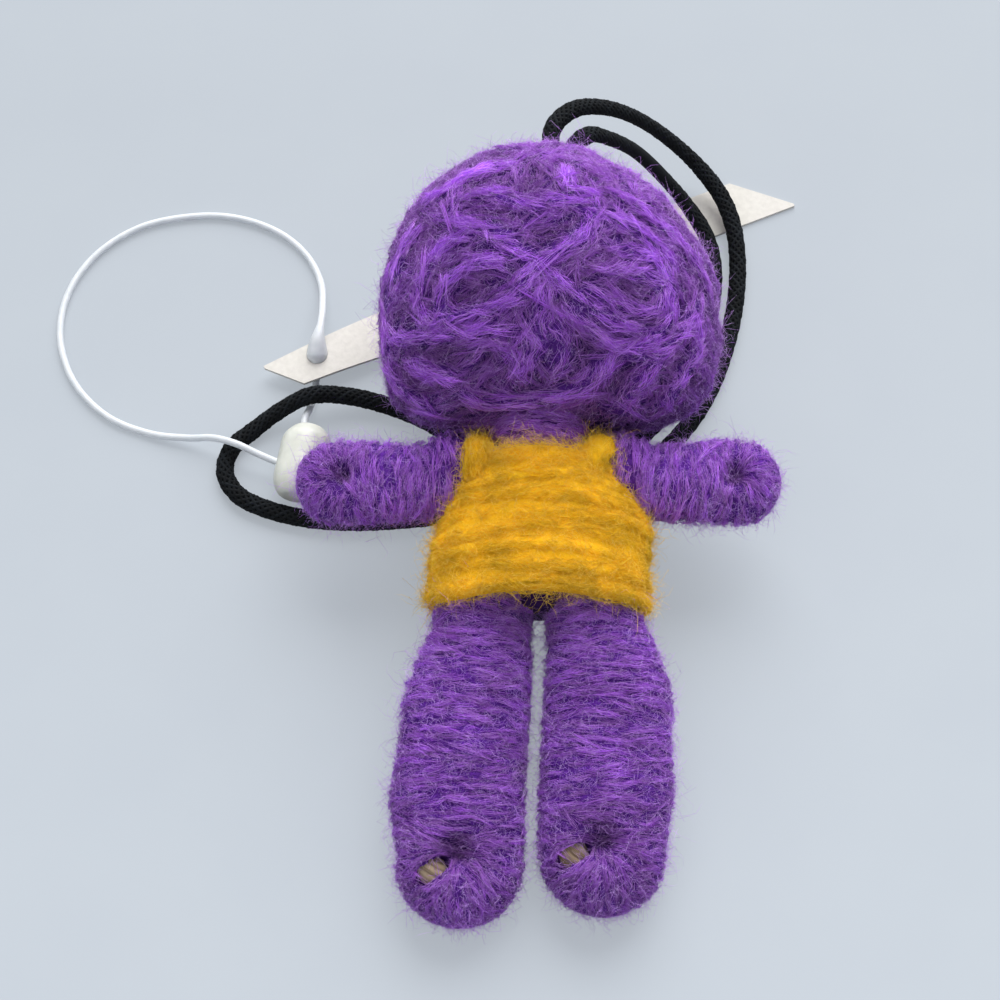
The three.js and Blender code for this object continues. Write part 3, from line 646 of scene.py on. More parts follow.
@dataclass(frozen=True)
class PlainFinish:
    """A moulded, coated or printed surface with a fine mottle, a little relief and a varying gloss."""

    name: str
    body: str
    other: str
    roughness: tuple[float, float]
    grain_mm: float
    relief_mm: float
    specular: float = 0.4
    transmission: float = 0.0
    subsurface: float = 0.0
    depth_mm: float = 1.5  # how deep light goes into a milky one
    ior: float = 1.5

    def material(self) -> bpy.types.Material:
        """Builds the node material."""
        made, tree = blank_material(self.name)
        place = add_node(tree, "ShaderNodeTexCoord", {}, {})
        grain = add_node(tree, "ShaderNodeTexNoise", {"Scale": 1 / (self.grain_mm * MM), "Detail": 4.0},
                         {"Vector": place.outputs["Object"]})
        tone = add_node(tree, "ShaderNodeValToRGB", {"stops": [
            (0.3, linear(self.other)), (0.65, linear(self.body))]}, {"Fac": grain.outputs["Fac"]})
        gloss = add_node(tree, "ShaderNodeMapRange", {
            "To Min": self.roughness[0], "To Max": self.roughness[1]}, {"Value": grain.outputs["Fac"]})
        relief = add_node(tree, "ShaderNodeBump", {"Strength": 0.4, "Distance": self.relief_mm * MM},
                          {"Height": grain.outputs["Fac"]})
        shader = add_node(tree, "ShaderNodeBsdfPrincipled", {
            "Specular IOR Level": self.specular, "IOR": self.ior, "Transmission Weight": self.transmission,
            "Subsurface Weight": self.subsurface, "Subsurface Radius": (1.0, 0.9, 0.8),
            "Subsurface Scale": self.depth_mm * MM},
            {"Base Color": tone.outputs["Color"], "Roughness": gloss.outputs["Result"],
             "Normal": relief.outputs["Normal"]})
        add_node(tree, "ShaderNodeOutputMaterial", {}, {"Surface": shader.outputs["BSDF"]})
        return made


# Purple acrylic wool, loosely spun and brushed: matte. Its loose hairs are painted paler than the wool, as
# painted light, and the packed wool that stands in for the imported wool below is painted much darker, as
# painted shade.
PURPLE_WOOL = WoolFinish("brushed_purple_wool", "#A24CD6", "#BE6FF0", "#DCA0FD", sheen=0.4)
LIT_PURPLE_FUZZ = WoolFinish("loose_purple_wool_painted_light", "#B474DE", "#CA95F0", "#DFBBFB", sheen=0.4)
SHADED_PURPLE_UNDER = WoolFinish("packed_purple_wool_painted_shade", "#4C1E7C", "#58268A", "#643098", sheen=0.2, felted=True)
# Yellow acrylic wool, the same spin: warm and matte. Its loose hairs are painted paler, as painted light, and
# the packed wool below a little darker, as painted shade.
YELLOW_WOOL = WoolFinish("brushed_yellow_wool", "#FFC816", "#FFD026", "#FFDA48", sheen=0.35)
LIT_YELLOW_FUZZ = WoolFinish("loose_yellow_wool_painted_light", "#FFCA2C", "#FFD244", "#FFDC6A", sheen=0.35)
SHADED_YELLOW_UNDER = WoolFinish(
    "packed_yellow_wool_painted_shade", "#F8BA10", "#FCC018", "#FFC622", sheen=0.2, felted=True, felt=(0.9, 1.04))
PURPLE = (PURPLE_WOOL, LIT_PURPLE_FUZZ, SHADED_PURPLE_UNDER)
YELLOW = (YELLOW_WOOL, LIT_YELLOW_FUZZ, SHADED_YELLOW_UNDER)
# Natural jute twine, twisted: dry, straw brown, with darker and paler fibres.
JUTE = WoolFinish("twisted_jute_twine", "#84705A", "#A8937A", "#CDBCA2", sheen=0.1)
JUTE_CORE = WoolFinish(
    "packed_jute_twine", "#8E7A62", "#A8927A", "#C0AC92", sheen=0.1, toned=False, felted=True)
# Black polyester, braided for the cord and twisted for the thread: a soft dark gleam on each strand.
CORD_BLACK = WoolFinish("braided_black_polyester", "#07090B", "#0C0F12", "#15191D", sheen=0.05, toned=False)
THREAD_BLACK = WoolFinish("twisted_black_thread", "#08080A", "#0E0E11", "#16161A", sheen=0.1, toned=False)
# White card, cut from uncoated board: faintly mottled and matte.
CARD = PlainFinish("uncoated_white_card", "#DAD6CE", "#D0CCC4", (0.6, 0.75), 0.6, 0.02, specular=0.25)
# Natural nylon, drawn and moulded: milky and a little clear, with a soft gloss.
NYLON = PlainFinish("moulded_natural_nylon", "#D9DAD0", "#CFD1C7", (0.25, 0.4), 1.2, 0.02, subsurface=0.5)
NYLON_LINE = PlainFinish(
    "drawn_clear_nylon", "#EDF0F3", "#E2E7EB", (0.3, 0.42), 1.0, 0.005, transmission=0.25)
# Black glass beads, fire polished: deep and shiny.
BEAD = PlainFinish("polished_black_glass", "#060607", "#0A0A0C", (0.06, 0.14), 0.8, 0.004, specular=0.5)
# White polystyrene foam, moulded: dull, with the beads it was blown from.
FOAM = PlainFinish("moulded_white_foam", "#EEEBE4", "#DDD9D0", (0.6, 0.8), 0.9, 0.05)
# Laminate table top: pale blue grey with a soft satin gloss.
TABLE = PlainFinish("satin_pale_laminate", "#B8C0C8", "#B4BCC5", (0.38, 0.46), 14.0, 0.004, specular=0.35)


# Head
@dataclass
class Head:
    """The wound wool ball: a packed ball, bands of yarn crossing over it, and loose fuzz."""

    centre: tuple[float, float, float] = (1.4, 35.32, 0.0)
    half: tuple[float, float, float] = (18.85, 15.7, 16.75)
    half_low: float = 16.9  # half height below the middle
    cheeks: float = -0.22  # height of the widest part over the middle, as a share of the half height
    fullness: float = 3.8  # exponent that fills out the cheeks below the widest part
    top_shift: float = -1.25  # how far the crown sits to one side
    packed: float = 1.0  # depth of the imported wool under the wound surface
    band: float = 1.25  # half width of a band of yarn
    raised: float = 0.85  # how far the outermost bands stand up
    narrow: tuple[float, float] = (0.985, 0.035)  # width of its right half, and what that loses up and down
    locks: Locks = Locks(width=0.68, stray=0.32)
    lock_count: int = 6600
    fuzz: Fuzz = Fuzz()
    fuzz_count: int = 36000
    parts: tuple[int, int] = (7, 4)  # pieces that the locks and the fuzz are split into
    under: float = -0.4  # where its face begins, through a unit sphere
    kept_under: tuple[float, float] = (0.5, 0.6)  # shares of the locks and of the fuzz that the face keeps
    turns_below: int = 24
    # Turns that lie outermost on the back, as points of a unit sphere seen from behind
    strokes: tuple[tuple[tuple[float, float], ...], ...] = (
        ((-0.04, 0.24), (0.10, 0.24), (0.24, 0.17), (0.30, 0.14)),
        ((0.16, 0.53), (0.14, 0.38), (0.23, 0.32), (0.33, 0.32)),
        ((-0.76, 0.38), (-0.57, 0.43), (-0.39, 0.53), (-0.18, 0.58)),
        ((-0.56, 0.20), (-0.54, 0.33), (-0.50, 0.50)),
        ((-0.53, 0.29), (-0.32, 0.32), (-0.12, 0.20), (-0.04, 0.18)),
        ((-0.77, 0.19), (-0.87, 0.03), (-0.89, -0.15)),
        ((-0.90, 0.02), (-0.94, -0.14), (-0.88, -0.37), (-0.74, -0.62)),
        ((0.33, 0.40), (0.53, 0.27), (0.71, 0.13), (0.86, -0.04), (0.90, -0.26)),
        ((0.24, 0.14), (0.45, 0.10), (0.59, 0.0), (0.70, -0.15)),
        ((0.78, -0.33), (0.70, -0.57), (0.51, -0.78), (0.32, -0.93)),
        ((0.59, -0.56), (0.40, -0.76), (0.24, -0.91), (0.18, -0.96)),
        ((-0.77, -0.58), (-0.60, -0.77), (-0.42, -0.88), (-0.31, -0.94)),
        ((-0.65, -0.63), (-0.49, -0.74), (-0.36, -0.79)),
        ((-0.32, -0.82), (-0.21, -0.91), (-0.03, -0.90), (0.14, -0.83)),
        ((-0.37, -0.67), (-0.25, -0.63), (-0.15, -0.72), (-0.11, -0.84)),
        ((0.27, -0.68), (0.17, -0.79), (0.07, -0.90)),
        ((0.01, -0.46), (0.04, -0.64), (0.01, -0.82)),
        ((-0.14, -0.54), (-0.10, -0.67), (-0.10, -0.81)),
        ((-0.90, -0.40), (-0.68, -0.52), (-0.50, -0.55), (-0.31, -0.56), (-0.16, -0.59)),
        ((0.32, -0.70), (0.52, -0.62), (0.72, -0.43), (0.84, -0.22)),
        ((-0.17, -0.25), (-0.31, -0.17), (-0.45, -0.18), (-0.56, -0.25), (-0.58, -0.36), (-0.52, -0.45),
         (-0.39, -0.46), (-0.22, -0.38)),
        ((-0.62, -0.49), (-0.45, -0.47), (-0.30, -0.44), (-0.17, -0.36)),
        ((-0.12, -0.11), (-0.29, 0.02), (-0.46, 0.05), (-0.62, -0.03), (-0.71, -0.18), (-0.72, -0.29),
         (-0.64, -0.43), (-0.49, -0.52)),
        ((0.07, -0.34), (0.23, -0.36), (0.38, -0.42), (0.48, -0.44), (0.56, -0.40), (0.59, -0.27),
         (0.48, -0.22), (0.31, -0.23), (0.18, -0.29)),
        ((0.04, -0.37), (0.15, -0.53), (0.28, -0.64), (0.43, -0.62), (0.60, -0.48)),
        ((0.28, -0.06), (0.45, -0.09), (0.59, -0.12), (0.65, -0.23), (0.63, -0.38), (0.54, -0.52),
         (0.39, -0.64), (0.23, -0.71)),
        ((-0.05, -0.30), (-0.04, -0.43), (-0.05, -0.57), (-0.03, -0.72)),
        ((0.31, 0.44), (0.28, 0.20), (0.21, 0.01), (0.04, -0.13), (-0.09, -0.22), (-0.17, -0.34),
         (-0.22, -0.42)),
        ((-0.76, 0.38), (-0.56, 0.16), (-0.35, 0.03), (-0.18, -0.12), (-0.07, -0.20), (0.04, -0.31),
         (0.17, -0.42), (0.32, -0.51), (0.50, -0.53), (0.60, -0.47)),
    )

    def surface(self, on_sphere: Array, height: Array | float = 0.0) -> tuple[Array, Array]:
        """Takes points of a unit sphere to the head.

        Args:
            on_sphere: unit vectors.
            height: distance outside the wound surface.

        Returns:
            Points in the doll's axes and the outward direction at each.
        """
        turned = np.cross(on_sphere, np.where(np.abs(on_sphere[..., 1:2]) < 0.9, [0, 1.0, 0], [1.0, 0, 0]))
        first = 0.01 * unit(turned)
        steps = (first, np.cross(on_sphere, first))
        slopes = [self.shape(unit(on_sphere + step)) - self.shape(unit(on_sphere - step)) for step in steps]
        outward = unit(np.cross(*slopes))
        return self.shape(on_sphere) + outward * np.asarray(height)[..., None], outward

    def shape(self, on_sphere: Array) -> Array:
        """Takes points of a unit sphere to the head's wound surface."""
        a, b, c = np.moveaxis(on_sphere, -1, 0)
        b = np.clip(b, -0.999, 0.999)
        low = b < self.cheeks
        part = (b - self.cheeks) / (np.where(low, -1.0, 1.0) - self.cheeks)
        power = np.where(low, self.fullness, 2.0)
        width = (1 - part**power) ** (1 / power) / np.sqrt(1 - b**2)
        half = np.array(self.half)
        width = width * np.where(a > 0, self.narrow[0] - self.narrow[1] * smooth(0.3, 0.9, np.abs(b)), 1.0)
        x = half[0] * a * width + self.top_shift * smooth(self.cheeks, 1 + self.cheeks, b)
        y = np.where(b < 0, self.half_low, half[1]) * b
        return np.stack([x, y, half[2] * c], -1) + np.array(self.centre)

    def bands(self, rng: np.random.Generator) -> tuple[Array, Array, Array, Array]:
        """Lists the bands of yarn that show on the head.

        Args:
            rng: source of the turns below the outermost ones.

        Returns:
            Points of the bands on a unit sphere, and the direction, the standing and the brightness at each.
        """
        on, stand, bright = [], [], []
        for knots in self.strokes:
            flat = np.array(knots)
            depth = np.sqrt(np.clip(1 - (flat**2).sum(1), 0, 1))
            points = unit(spline(np.column_stack([flat, depth]), 14))
            t = np.linspace(0, 1, len(points))
            on.append(points)
            stand.append(0.35 + 0.65 * smooth(0, 0.16, np.minimum(t, 1 - t)))
            bright.append(np.full(len(points), rng.uniform(0.94, 1.14)))
        for i in range(self.turns_below):
            lean = np.pi * ((7 * i % self.turns_below) / self.turns_below) + rng.normal(0, 0.15)
            axis = unit(np.array([np.cos(lean), np.sin(lean), rng.normal(0, 0.35)]))
            first = unit(np.cross(axis, [0.31, 0.87, 0.22]))
            start, opening = rng.uniform(0, 2 * np.pi), np.pi / 2 + rng.normal(0, 0.25)
            turn = start + np.linspace(0, rng.uniform(3.0, 6.0), 150)[:, None]
            opening = opening + 0.06 * np.sin(2 * turn + 5 * start) + 0.03 * np.sin(5 * turn + 3 * start)
            ring = first * np.cos(turn) + np.cross(axis, first) * np.sin(turn)
            on.append(unit(np.cos(opening) * axis + np.sin(opening) * ring))
            stand.append(np.full(150, rng.uniform(0.35, 0.65)))
            # The turns below are painted a little darker than the outermost ones, as painted shade under
            # them; within each range the tone is random.
            bright.append(np.full(150, rng.uniform(0.85, 1.02)))
        ahead = [unit(np.gradient(points, axis=0)) for points in on]
        return np.vstack(on), np.vstack(ahead), np.concatenate(stand), np.concatenate(bright)

    def flow(self, on: Array, bands: tuple[Array, Array, Array, Array]) -> tuple[Array, Array, Array]:
        """Finds the band that rules at each of some points.

        Args:
            on: points of a unit sphere.
            bands: the bands.

        Returns:
            How far the wool stands up at each, the direction of its fibres, and its brightness.
        """
        places, ahead, stand, bright = bands
        sharp = 2 * (self.half[0] / self.band) ** 2
        best, ridge = [], []
        for some in np.array_split(on, max(len(on) // 1500, 1)):
            score = sharp * (some @ places.T - 1) + np.log(stand)
            best.append(score.argmax(1))
            ridge.append(np.exp(score.max(1)))
        best = np.concatenate(best)
        return np.concatenate(ridge), ahead[best], bright[best]

    def walk(self, on: Array, ahead: Array) -> Walk:
        """Gives the way over the head from some points of a unit sphere.

        Args:
            on: the points.
            ahead: the direction of each.

        Returns:
            The way.
        """
        ahead = unit(ahead - on * (ahead * on).sum(-1, keepdims=True))
        beside = np.cross(on, ahead)

        def over(home: Array, along: Array, aside: Array, height: Array) -> tuple[Array, Array]:
            step = ahead[home][:, None] * along[..., None] + beside[home][:, None] * aside[..., None]
            return self.surface(unit(on[home][:, None] + step / self.half[0]), height)

        return over

    def spread(self, count: int, kept: float, rng: np.random.Generator) -> Array:
        """Spreads points over a unit sphere, fewer of them on the face.

        Args:
            count: how many before the face is thinned.
            kept: share of them that the face keeps.
            rng: source of the places.

        Returns:
            The points, in order round the head.
        """
        on = unit(rng.normal(0, 1, (count, 3)))
        on = on[(on[:, 2] > self.under) | (rng.uniform(0, 1, len(on)) < kept)]
        return on[np.argsort(np.arctan2(on[:, 0], -on[:, 2]))]

    def build(self, rng: np.random.Generator) -> None:
        """Builds and dresses the head's wool.

        Args:
            rng: source of the wool's lie.
        """
        wool, loose, packed = (finish.material() for finish in PURPLE)
        bands = self.bands(rng)
        up, around = np.linspace(0.03, np.pi - 0.03, 80)[:, None], circle(128)
        grid = stacked(np.sin(up) * np.cos(around), -np.cos(up), -np.sin(up) * np.sin(around))
        ridge = self.flow(grid.reshape(-1, 3), bands)[0].reshape(grid.shape[:2])
        skin, _ = self.surface(grid, self.raised * ridge - self.packed)
        # Painted shade: the packed ball is painted darker in the valleys between the bands and paler on their
        # ridges.
        skin = loft("head_packed_wool", skin, packed, tone=0.36 + 0.8 * ridge)
        settle(skin, Body.HEAD, "purple_wool", "head_winding")
        on = self.spread(self.lock_count, self.kept_under[0], rng)
        ridge, ahead, bright = self.flow(on, bands)
        ahead = ahead * rng.choice([-1, 1], len(on))[:, None]
        level = 0.22 - self.packed + self.raised * ridge + rng.normal(0, 0.08, len(on))
        # Painted shade and light: the locks are painted darker in the valleys between bands and brighter
        # towards the crown, where more light falls; each band's own tone is random.
        shade = bright * (0.4 + 0.72 * ridge) * (1 + 0.34 * smooth(0.1, 0.9, on[:, 1]))
        fibres = self.locks.lay(self.walk(on, ahead), level, shade, rng)
        fleece(fibres, "head_wool", wool, Body.HEAD, "purple_wool", self.parts[0])
        on = self.spread(self.fuzz_count, self.kept_under[1], rng)
        ridge, ahead, _ = self.flow(on, bands)
        roots, outward = self.surface(on, 0.15 - self.packed + self.raised * ridge)
        along = unit(ahead - outward * (ahead * outward).sum(-1, keepdims=True))
        hairs = self.fuzz.grow(roots, outward, along, rng)
        fleece(hairs, "head_fuzz", loose, Body.HEAD, "purple_wool", self.parts[1])


# Limbs
WOUND_LOCKS = Locks(width=0.5, stray=0.16, bow=0.06, loose=0.25)  # of yarn wound round and round
TWINE_LOCKS = Locks(length=3.0, width=0.2, fibres=3, radius=0.02, stray=0.15, bow=0.03, crimp=0.02, loose=0.1)


@dataclass
class Limb:
    """A wound limb with a looped tip: turns of yarn round it, turns through the loop, and fuzz."""

    name: str
    body: Body
    side: Side
    length: float
    root: float  # radius at the pivot
    tip: tuple[float, float]  # half width and half depth of the tip
    loop_radius: float
    starts: float  # where the wool starts, along the limb from its pivot
    dimple: tuple[float, float]  # radius and depth of the hollow in the loop
    bare: float | None = None  # direction of the bare patch round the loop, in degrees
    locks: Locks = WOUND_LOCKS
    density: float = 1.3  # locks on a square millimetre
    fuzz: Fuzz = Fuzz()
    fuzz_density: float = 11  # hairs on a square millimetre
    pitch: float = 1.05
    raised: float = 0.32  # how far the middle of a turn stands up
    patch_half: float = 0.75  # how far the yarn is pushed aside from the bare patch
    packed: float = 0.4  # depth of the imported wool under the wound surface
    # how much brighter the wool is painted: painted light
    bright: float = 1.0
    end_painted_shade: float = 0.16  # how much darker the limb's end is painted: painted shade
    hollow_painted_shade: float = 0.5  # how much darker the loop's hollow is painted: painted shade

    def sizes(self, s: Array) -> tuple[Array, Array]:
        """Gives the half width and half depth at lengths along the limb."""
        raise NotImplementedError

    def middle(self, s: Array) -> tuple[Array, Array]:
        """Gives the axis and the direction across at lengths along the limb."""
        raise NotImplementedError

    def skin(self, s: Array, turn: Array, height: Array | float) -> tuple[Array, Array]:
        """Gives points on the limb.

        Args:
            s: lengths along the limb from its pivot.
            turn: angles round it, a quarter turn being the back.
            height: distance outside its wound surface.

        Returns:
            Points in the doll's axes and the outward direction at each.
        """
        wide, deep = self.sizes(np.clip(s, 0, self.length))
        past = np.clip((s - self.length) / self.tip[0], 0, 0.999)
        drawn = np.sqrt(1 - past**2)
        centre, across = self.middle(s)
        wide, deep = wide * drawn + height, deep * drawn + height
        points = centre + across * (wide * np.cos(turn))[..., None]
        points = points + BACK * (deep * np.sin(turn))[..., None]
        along = np.cross(across, BACK)
        slope = past / np.maximum(drawn, 0.05)
        outward = across * (np.cos(turn) / wide)[..., None] + BACK * (np.sin(turn) / deep)[..., None]
        return points, unit(unit(outward) + self.ahead(along) * slope[..., None])

    def spot(self, run: Array, turn: Array) -> Array:
        """Gives points of the wound surface at lengths over the skin and angles round it."""
        return self.skin(self.arc(run), turn, 0.0)[0]

    def ahead(self, along: Array) -> Array:
        """Turns a direction along the limb so that it points to the tip."""
        raise NotImplementedError

    def tip_frame(self) -> tuple[Array, Array, Array]:
        """Gives the loop's middle, the direction across the limb and the direction to its tip."""
        centre, across = self.middle(np.array(self.length - self.loop_radius / 4))
        return centre, across, self.ahead(np.cross(across, BACK))

    def patch(self, points: Array) -> tuple[Array, Array, Array]:
        """Measures points against the bare patch.

        Args:
            points: points in the doll's axes.

        Returns:
            Their distance beside the patch's middle line, the direction of that, and how far they are
            inside its length.
        """
        centre, across, ahead = self.tip_frame()
        bearing = math.radians(self.bare)
        out = ahead * math.cos(bearing) + across * math.sin(bearing)
        beside = np.cross(BACK, out)
        run = (points - centre) @ out
        within = smooth(1.1, 1.9, run) * (1 - smooth(4.6, 5.4, run)) * smooth(0, 1.5, points[..., 2])
        return (points - centre) @ beside, beside, within

    def hollow(self, points: Array, open_patch: bool = True) -> Array:
        """Presses points near the loop's middle into its hollow, and clears the bare patch.

        Args:
            points: points in the doll's axes.
            open_patch: whether yarn is pushed aside from the patch, and not pressed down under it.

        Returns:
            The moved points.
        """
        centre, _, _ = self.tip_frame()
        away = np.linalg.norm((points - centre)[..., :2], axis=-1)
        sink = self.dimple[1] * np.exp(-((away / self.dimple[0]) ** 2))
        pressed = points.copy()
        if self.bare is not None:
            aside, beside, within = self.patch(points)
            if open_patch:
                push = self.patch_half * within * np.exp(-np.abs(aside) / 1.3)
                pressed += beside * (np.where(aside < 0, -1.0, 1.0) * push)[..., None]
            else:
                sink = sink + 2.4 * within * (1 - smooth(0.6, 0.9, np.abs(aside)))
        pressed[..., 2] -= sink * np.tanh(points[..., 2] / 1.5)
        return pressed

    def shade(self, points: Array) -> Array:
        """Paints shade on the wool: darker where it is drawn into the loop's hollow, and a little darker at
        the limb's end.
        """
        centre, _, ahead = self.tip_frame()
        away = np.linalg.norm((points - centre)[..., :2], axis=-1)
        end = 1 - self.end_painted_shade * smooth(-1.5 * self.tip[0], 0.5 * self.tip[0], (points - centre) @ ahead)
        hollow = self.hollow_painted_shade * np.exp(-((away / (1.4 * self.dimple[0])) ** 2))
        return end * (1 - hollow * smooth(0, 1, points[..., 2]))

    def arc(self, run: Array) -> Array:
        """Takes lengths over the limb's skin to lengths along its axis."""
        past = np.clip((run - self.length) / self.tip[0], 0, 1.5)
        return np.where(run > self.length, self.length + self.tip[0] * np.sin(past), run)

    def roots(self, rng: np.random.Generator, count: int) -> tuple[Array, Array]:
        """Spreads places over the limb, clear of its bare patch.

        Args:
            rng: source of the places.
            count: about how many.

        Returns:
            Lengths over the skin and angles round it.
        """
        run = rng.uniform(self.starts, self.length + 1.5 * self.tip[0], count)
        turn = rng.uniform(0, 2 * np.pi, count)
        keep = rng.uniform(0, 1, count) < np.cos(np.clip((run - self.length) / self.tip[0], 0, 1.45))
        if self.bare is not None:
            aside, _, within = self.patch(self.spot(run, turn))
            keep &= (np.abs(aside) > 0.45) | (within < 0.1)
        order = np.argsort(run[keep])
        return run[keep][order], turn[keep][order]

    def lie(self, run: Array, turn: Array) -> tuple[Array, Array, Array, Array]:
        """Finds how the yarn lies at places on the limb.

        Args:
            run: lengths over its skin.
            turn: angles round it.

        Returns:
            The yarn's direction along the limb and round it, the limb's radius there, and how near a turn's
            middle it is.
        """
        points = self.spot(run, turn)
        onward = unit(self.spot(run + 0.1, turn) - self.spot(run - 0.1, turn))
        round_it = (self.spot(run, turn + 0.02) - self.spot(run, turn - 0.02)) / 0.04
        radius = np.maximum(np.linalg.norm(round_it, axis=-1), 1.0)
        centre, across, ahead = self.tip_frame()
        off = points - centre
        forward, beside = off @ ahead, off @ across
        reach, bearing = np.hypot(forward, beside), np.arctan2(beside, forward)
        dip = np.arctan2(reach / self.tip[0], off[:, 2] / self.tip[1])
        out = unit(ahead * np.cos(bearing)[:, None] + across * np.sin(bearing)[:, None])
        over = out * np.cos(dip)[:, None] - BACK * np.sin(dip)[:, None]
        looped = (np.abs(bearing) < 2.2) & (reach < 1.35 * self.tip[0]) & (forward > -0.62 * self.tip[0])
        slant = 0.05 + 0.1 * np.sin(run / 1.9 + turn) + 0.07 * np.sin(run / 0.8 - 2 * turn)
        through = np.stack([(over * onward).sum(-1), (over * round_it).sum(-1) / radius], -1)
        way = unit(np.where(looped[:, None], through, np.stack([np.sin(slant), np.cos(slant)], -1)))
        waver = 0.3 * np.sin(run / 1.7 + 2 * turn) + 0.22 * np.sin(run / 0.9 - 3 * turn + 1.0)
        wound = (run + waver) / self.pitch - turn / (2 * np.pi)
        loops = round(2 * np.pi * self.tip[0] / 1.15)
        crown = 0.5 + 0.5 * np.cos(np.where(looped, loops * bearing + waver, 2 * np.pi * wound))
        return way[:, 0], way[:, 1], radius, crown

    def build(self, rng: np.random.Generator) -> None:
        """Builds and dresses the limb's wool.

        Args:
            rng: source of the wool's lie.
        """
        wool, loose, packed = (finish.material() for finish in PURPLE)
        run = np.linspace(self.starts, self.length + 1.45 * self.tip[0], 100)
        run, turn = (each.copy() for each in np.broadcast_arrays(run[:, None], circle(72)))
        crown = self.lie(run.ravel(), turn.ravel())[3].reshape(run.shape)
        skin, _ = self.skin(self.arc(run), turn, 0.6 * self.raised * crown - self.packed)
        skin = self.hollow(skin, open_patch=False)
        # Painted shade: the packed wool is painted darker between the turns than on their crowns, and darker
        # still in the loop's hollow and at the limb's end.
        core = loft(f"{self.name}_packed_wool", skin, packed, tone=(1.05 + 0.35 * crown) * self.shade(skin))
        settle(core, self.body, "purple_wool", f"{self.name}_winding")
        area = 2 * np.pi * self.tip[0] * (self.length - self.starts + 1.5 * self.tip[0])
        run, turn = self.roots(rng, int(self.density * area))
        onward, round_it, radius, crown = self.lie(run, turn)
        flip = rng.choice([-1, 1], len(run))
        onward, round_it = onward * flip, round_it * flip

        def over(home: Array, along: Array, aside: Array, height: Array) -> tuple[Array, Array]:
            c, s, r = (each[home][:, None] for each in (onward, round_it, radius))
            step, swing = along * c - aside * s, (along * s + aside * c) / r
            place = self.arc(run[home][:, None] + step)
            points, outward = self.skin(place, turn[home][:, None] + swing, height)
            return self.hollow(points), outward

        level = 0.12 - self.packed + self.raised * crown + rng.normal(0, 0.08, len(run))
        # Painted shade: the locks are painted darker between the turns than on their crowns, and in the
        # hollow and at the end.
        tone = self.bright * (0.74 + 0.32 * crown) * self.shade(self.spot(run, turn))
        fibres = self.locks.lay(over, level, tone, rng)
        fleece(fibres, f"{self.name}_wool", wool, self.body, "purple_wool", 2 if len(run) > 1000 else 1)
        run, turn = self.roots(rng, int(self.fuzz_density * area))
        roots, outward = self.skin(self.arc(run), turn, rng.normal(-0.1, 0.12, len(run)))
        ahead = unit(self.spot(run, turn + 0.05) - self.spot(run, turn - 0.05))
        hairs = self.fuzz.grow(self.hollow(roots), outward, ahead, rng)
        fleece(hairs, f"{self.name}_fuzz", loose, self.body, "purple_wool")


@dataclass
class Arm(Limb):
    """An arm, straight out from the shoulder."""

    pivot: tuple[float, float] = (13.01, 13.22)
    # Painted light: the arms' wool is painted brighter than the legs', for the light that falls on them.
    bright: float = 1.1

    def sizes(self, s: Array) -> tuple[Array, Array]:
        """Gives the half width and half depth at lengths along the arm."""
        t = np.clip(s / self.length, 0, 1)
        return self.root + (self.tip[0] - self.root) * np.sqrt(t), self.root + (self.tip[1] - self.root) * t

    def middle(self, s: Array) -> tuple[Array, Array]:
        """Gives the axis and the direction across at lengths along the arm."""
        s = np.asarray(s, float)
        x = self.side.value * (self.pivot[0] + s)
        across = np.broadcast_to(np.array([0, -self.side.value, 0], float), (*s.shape, 3))
        return np.stack([x, np.full(s.shape, self.pivot[1]), np.zeros(s.shape)], -1), across

    def ahead(self, along: Array) -> Array:
        """Turns a direction along the arm so that it points to the hand."""
        return along * np.sign(along[..., :1] * self.side.value + 1e-9)


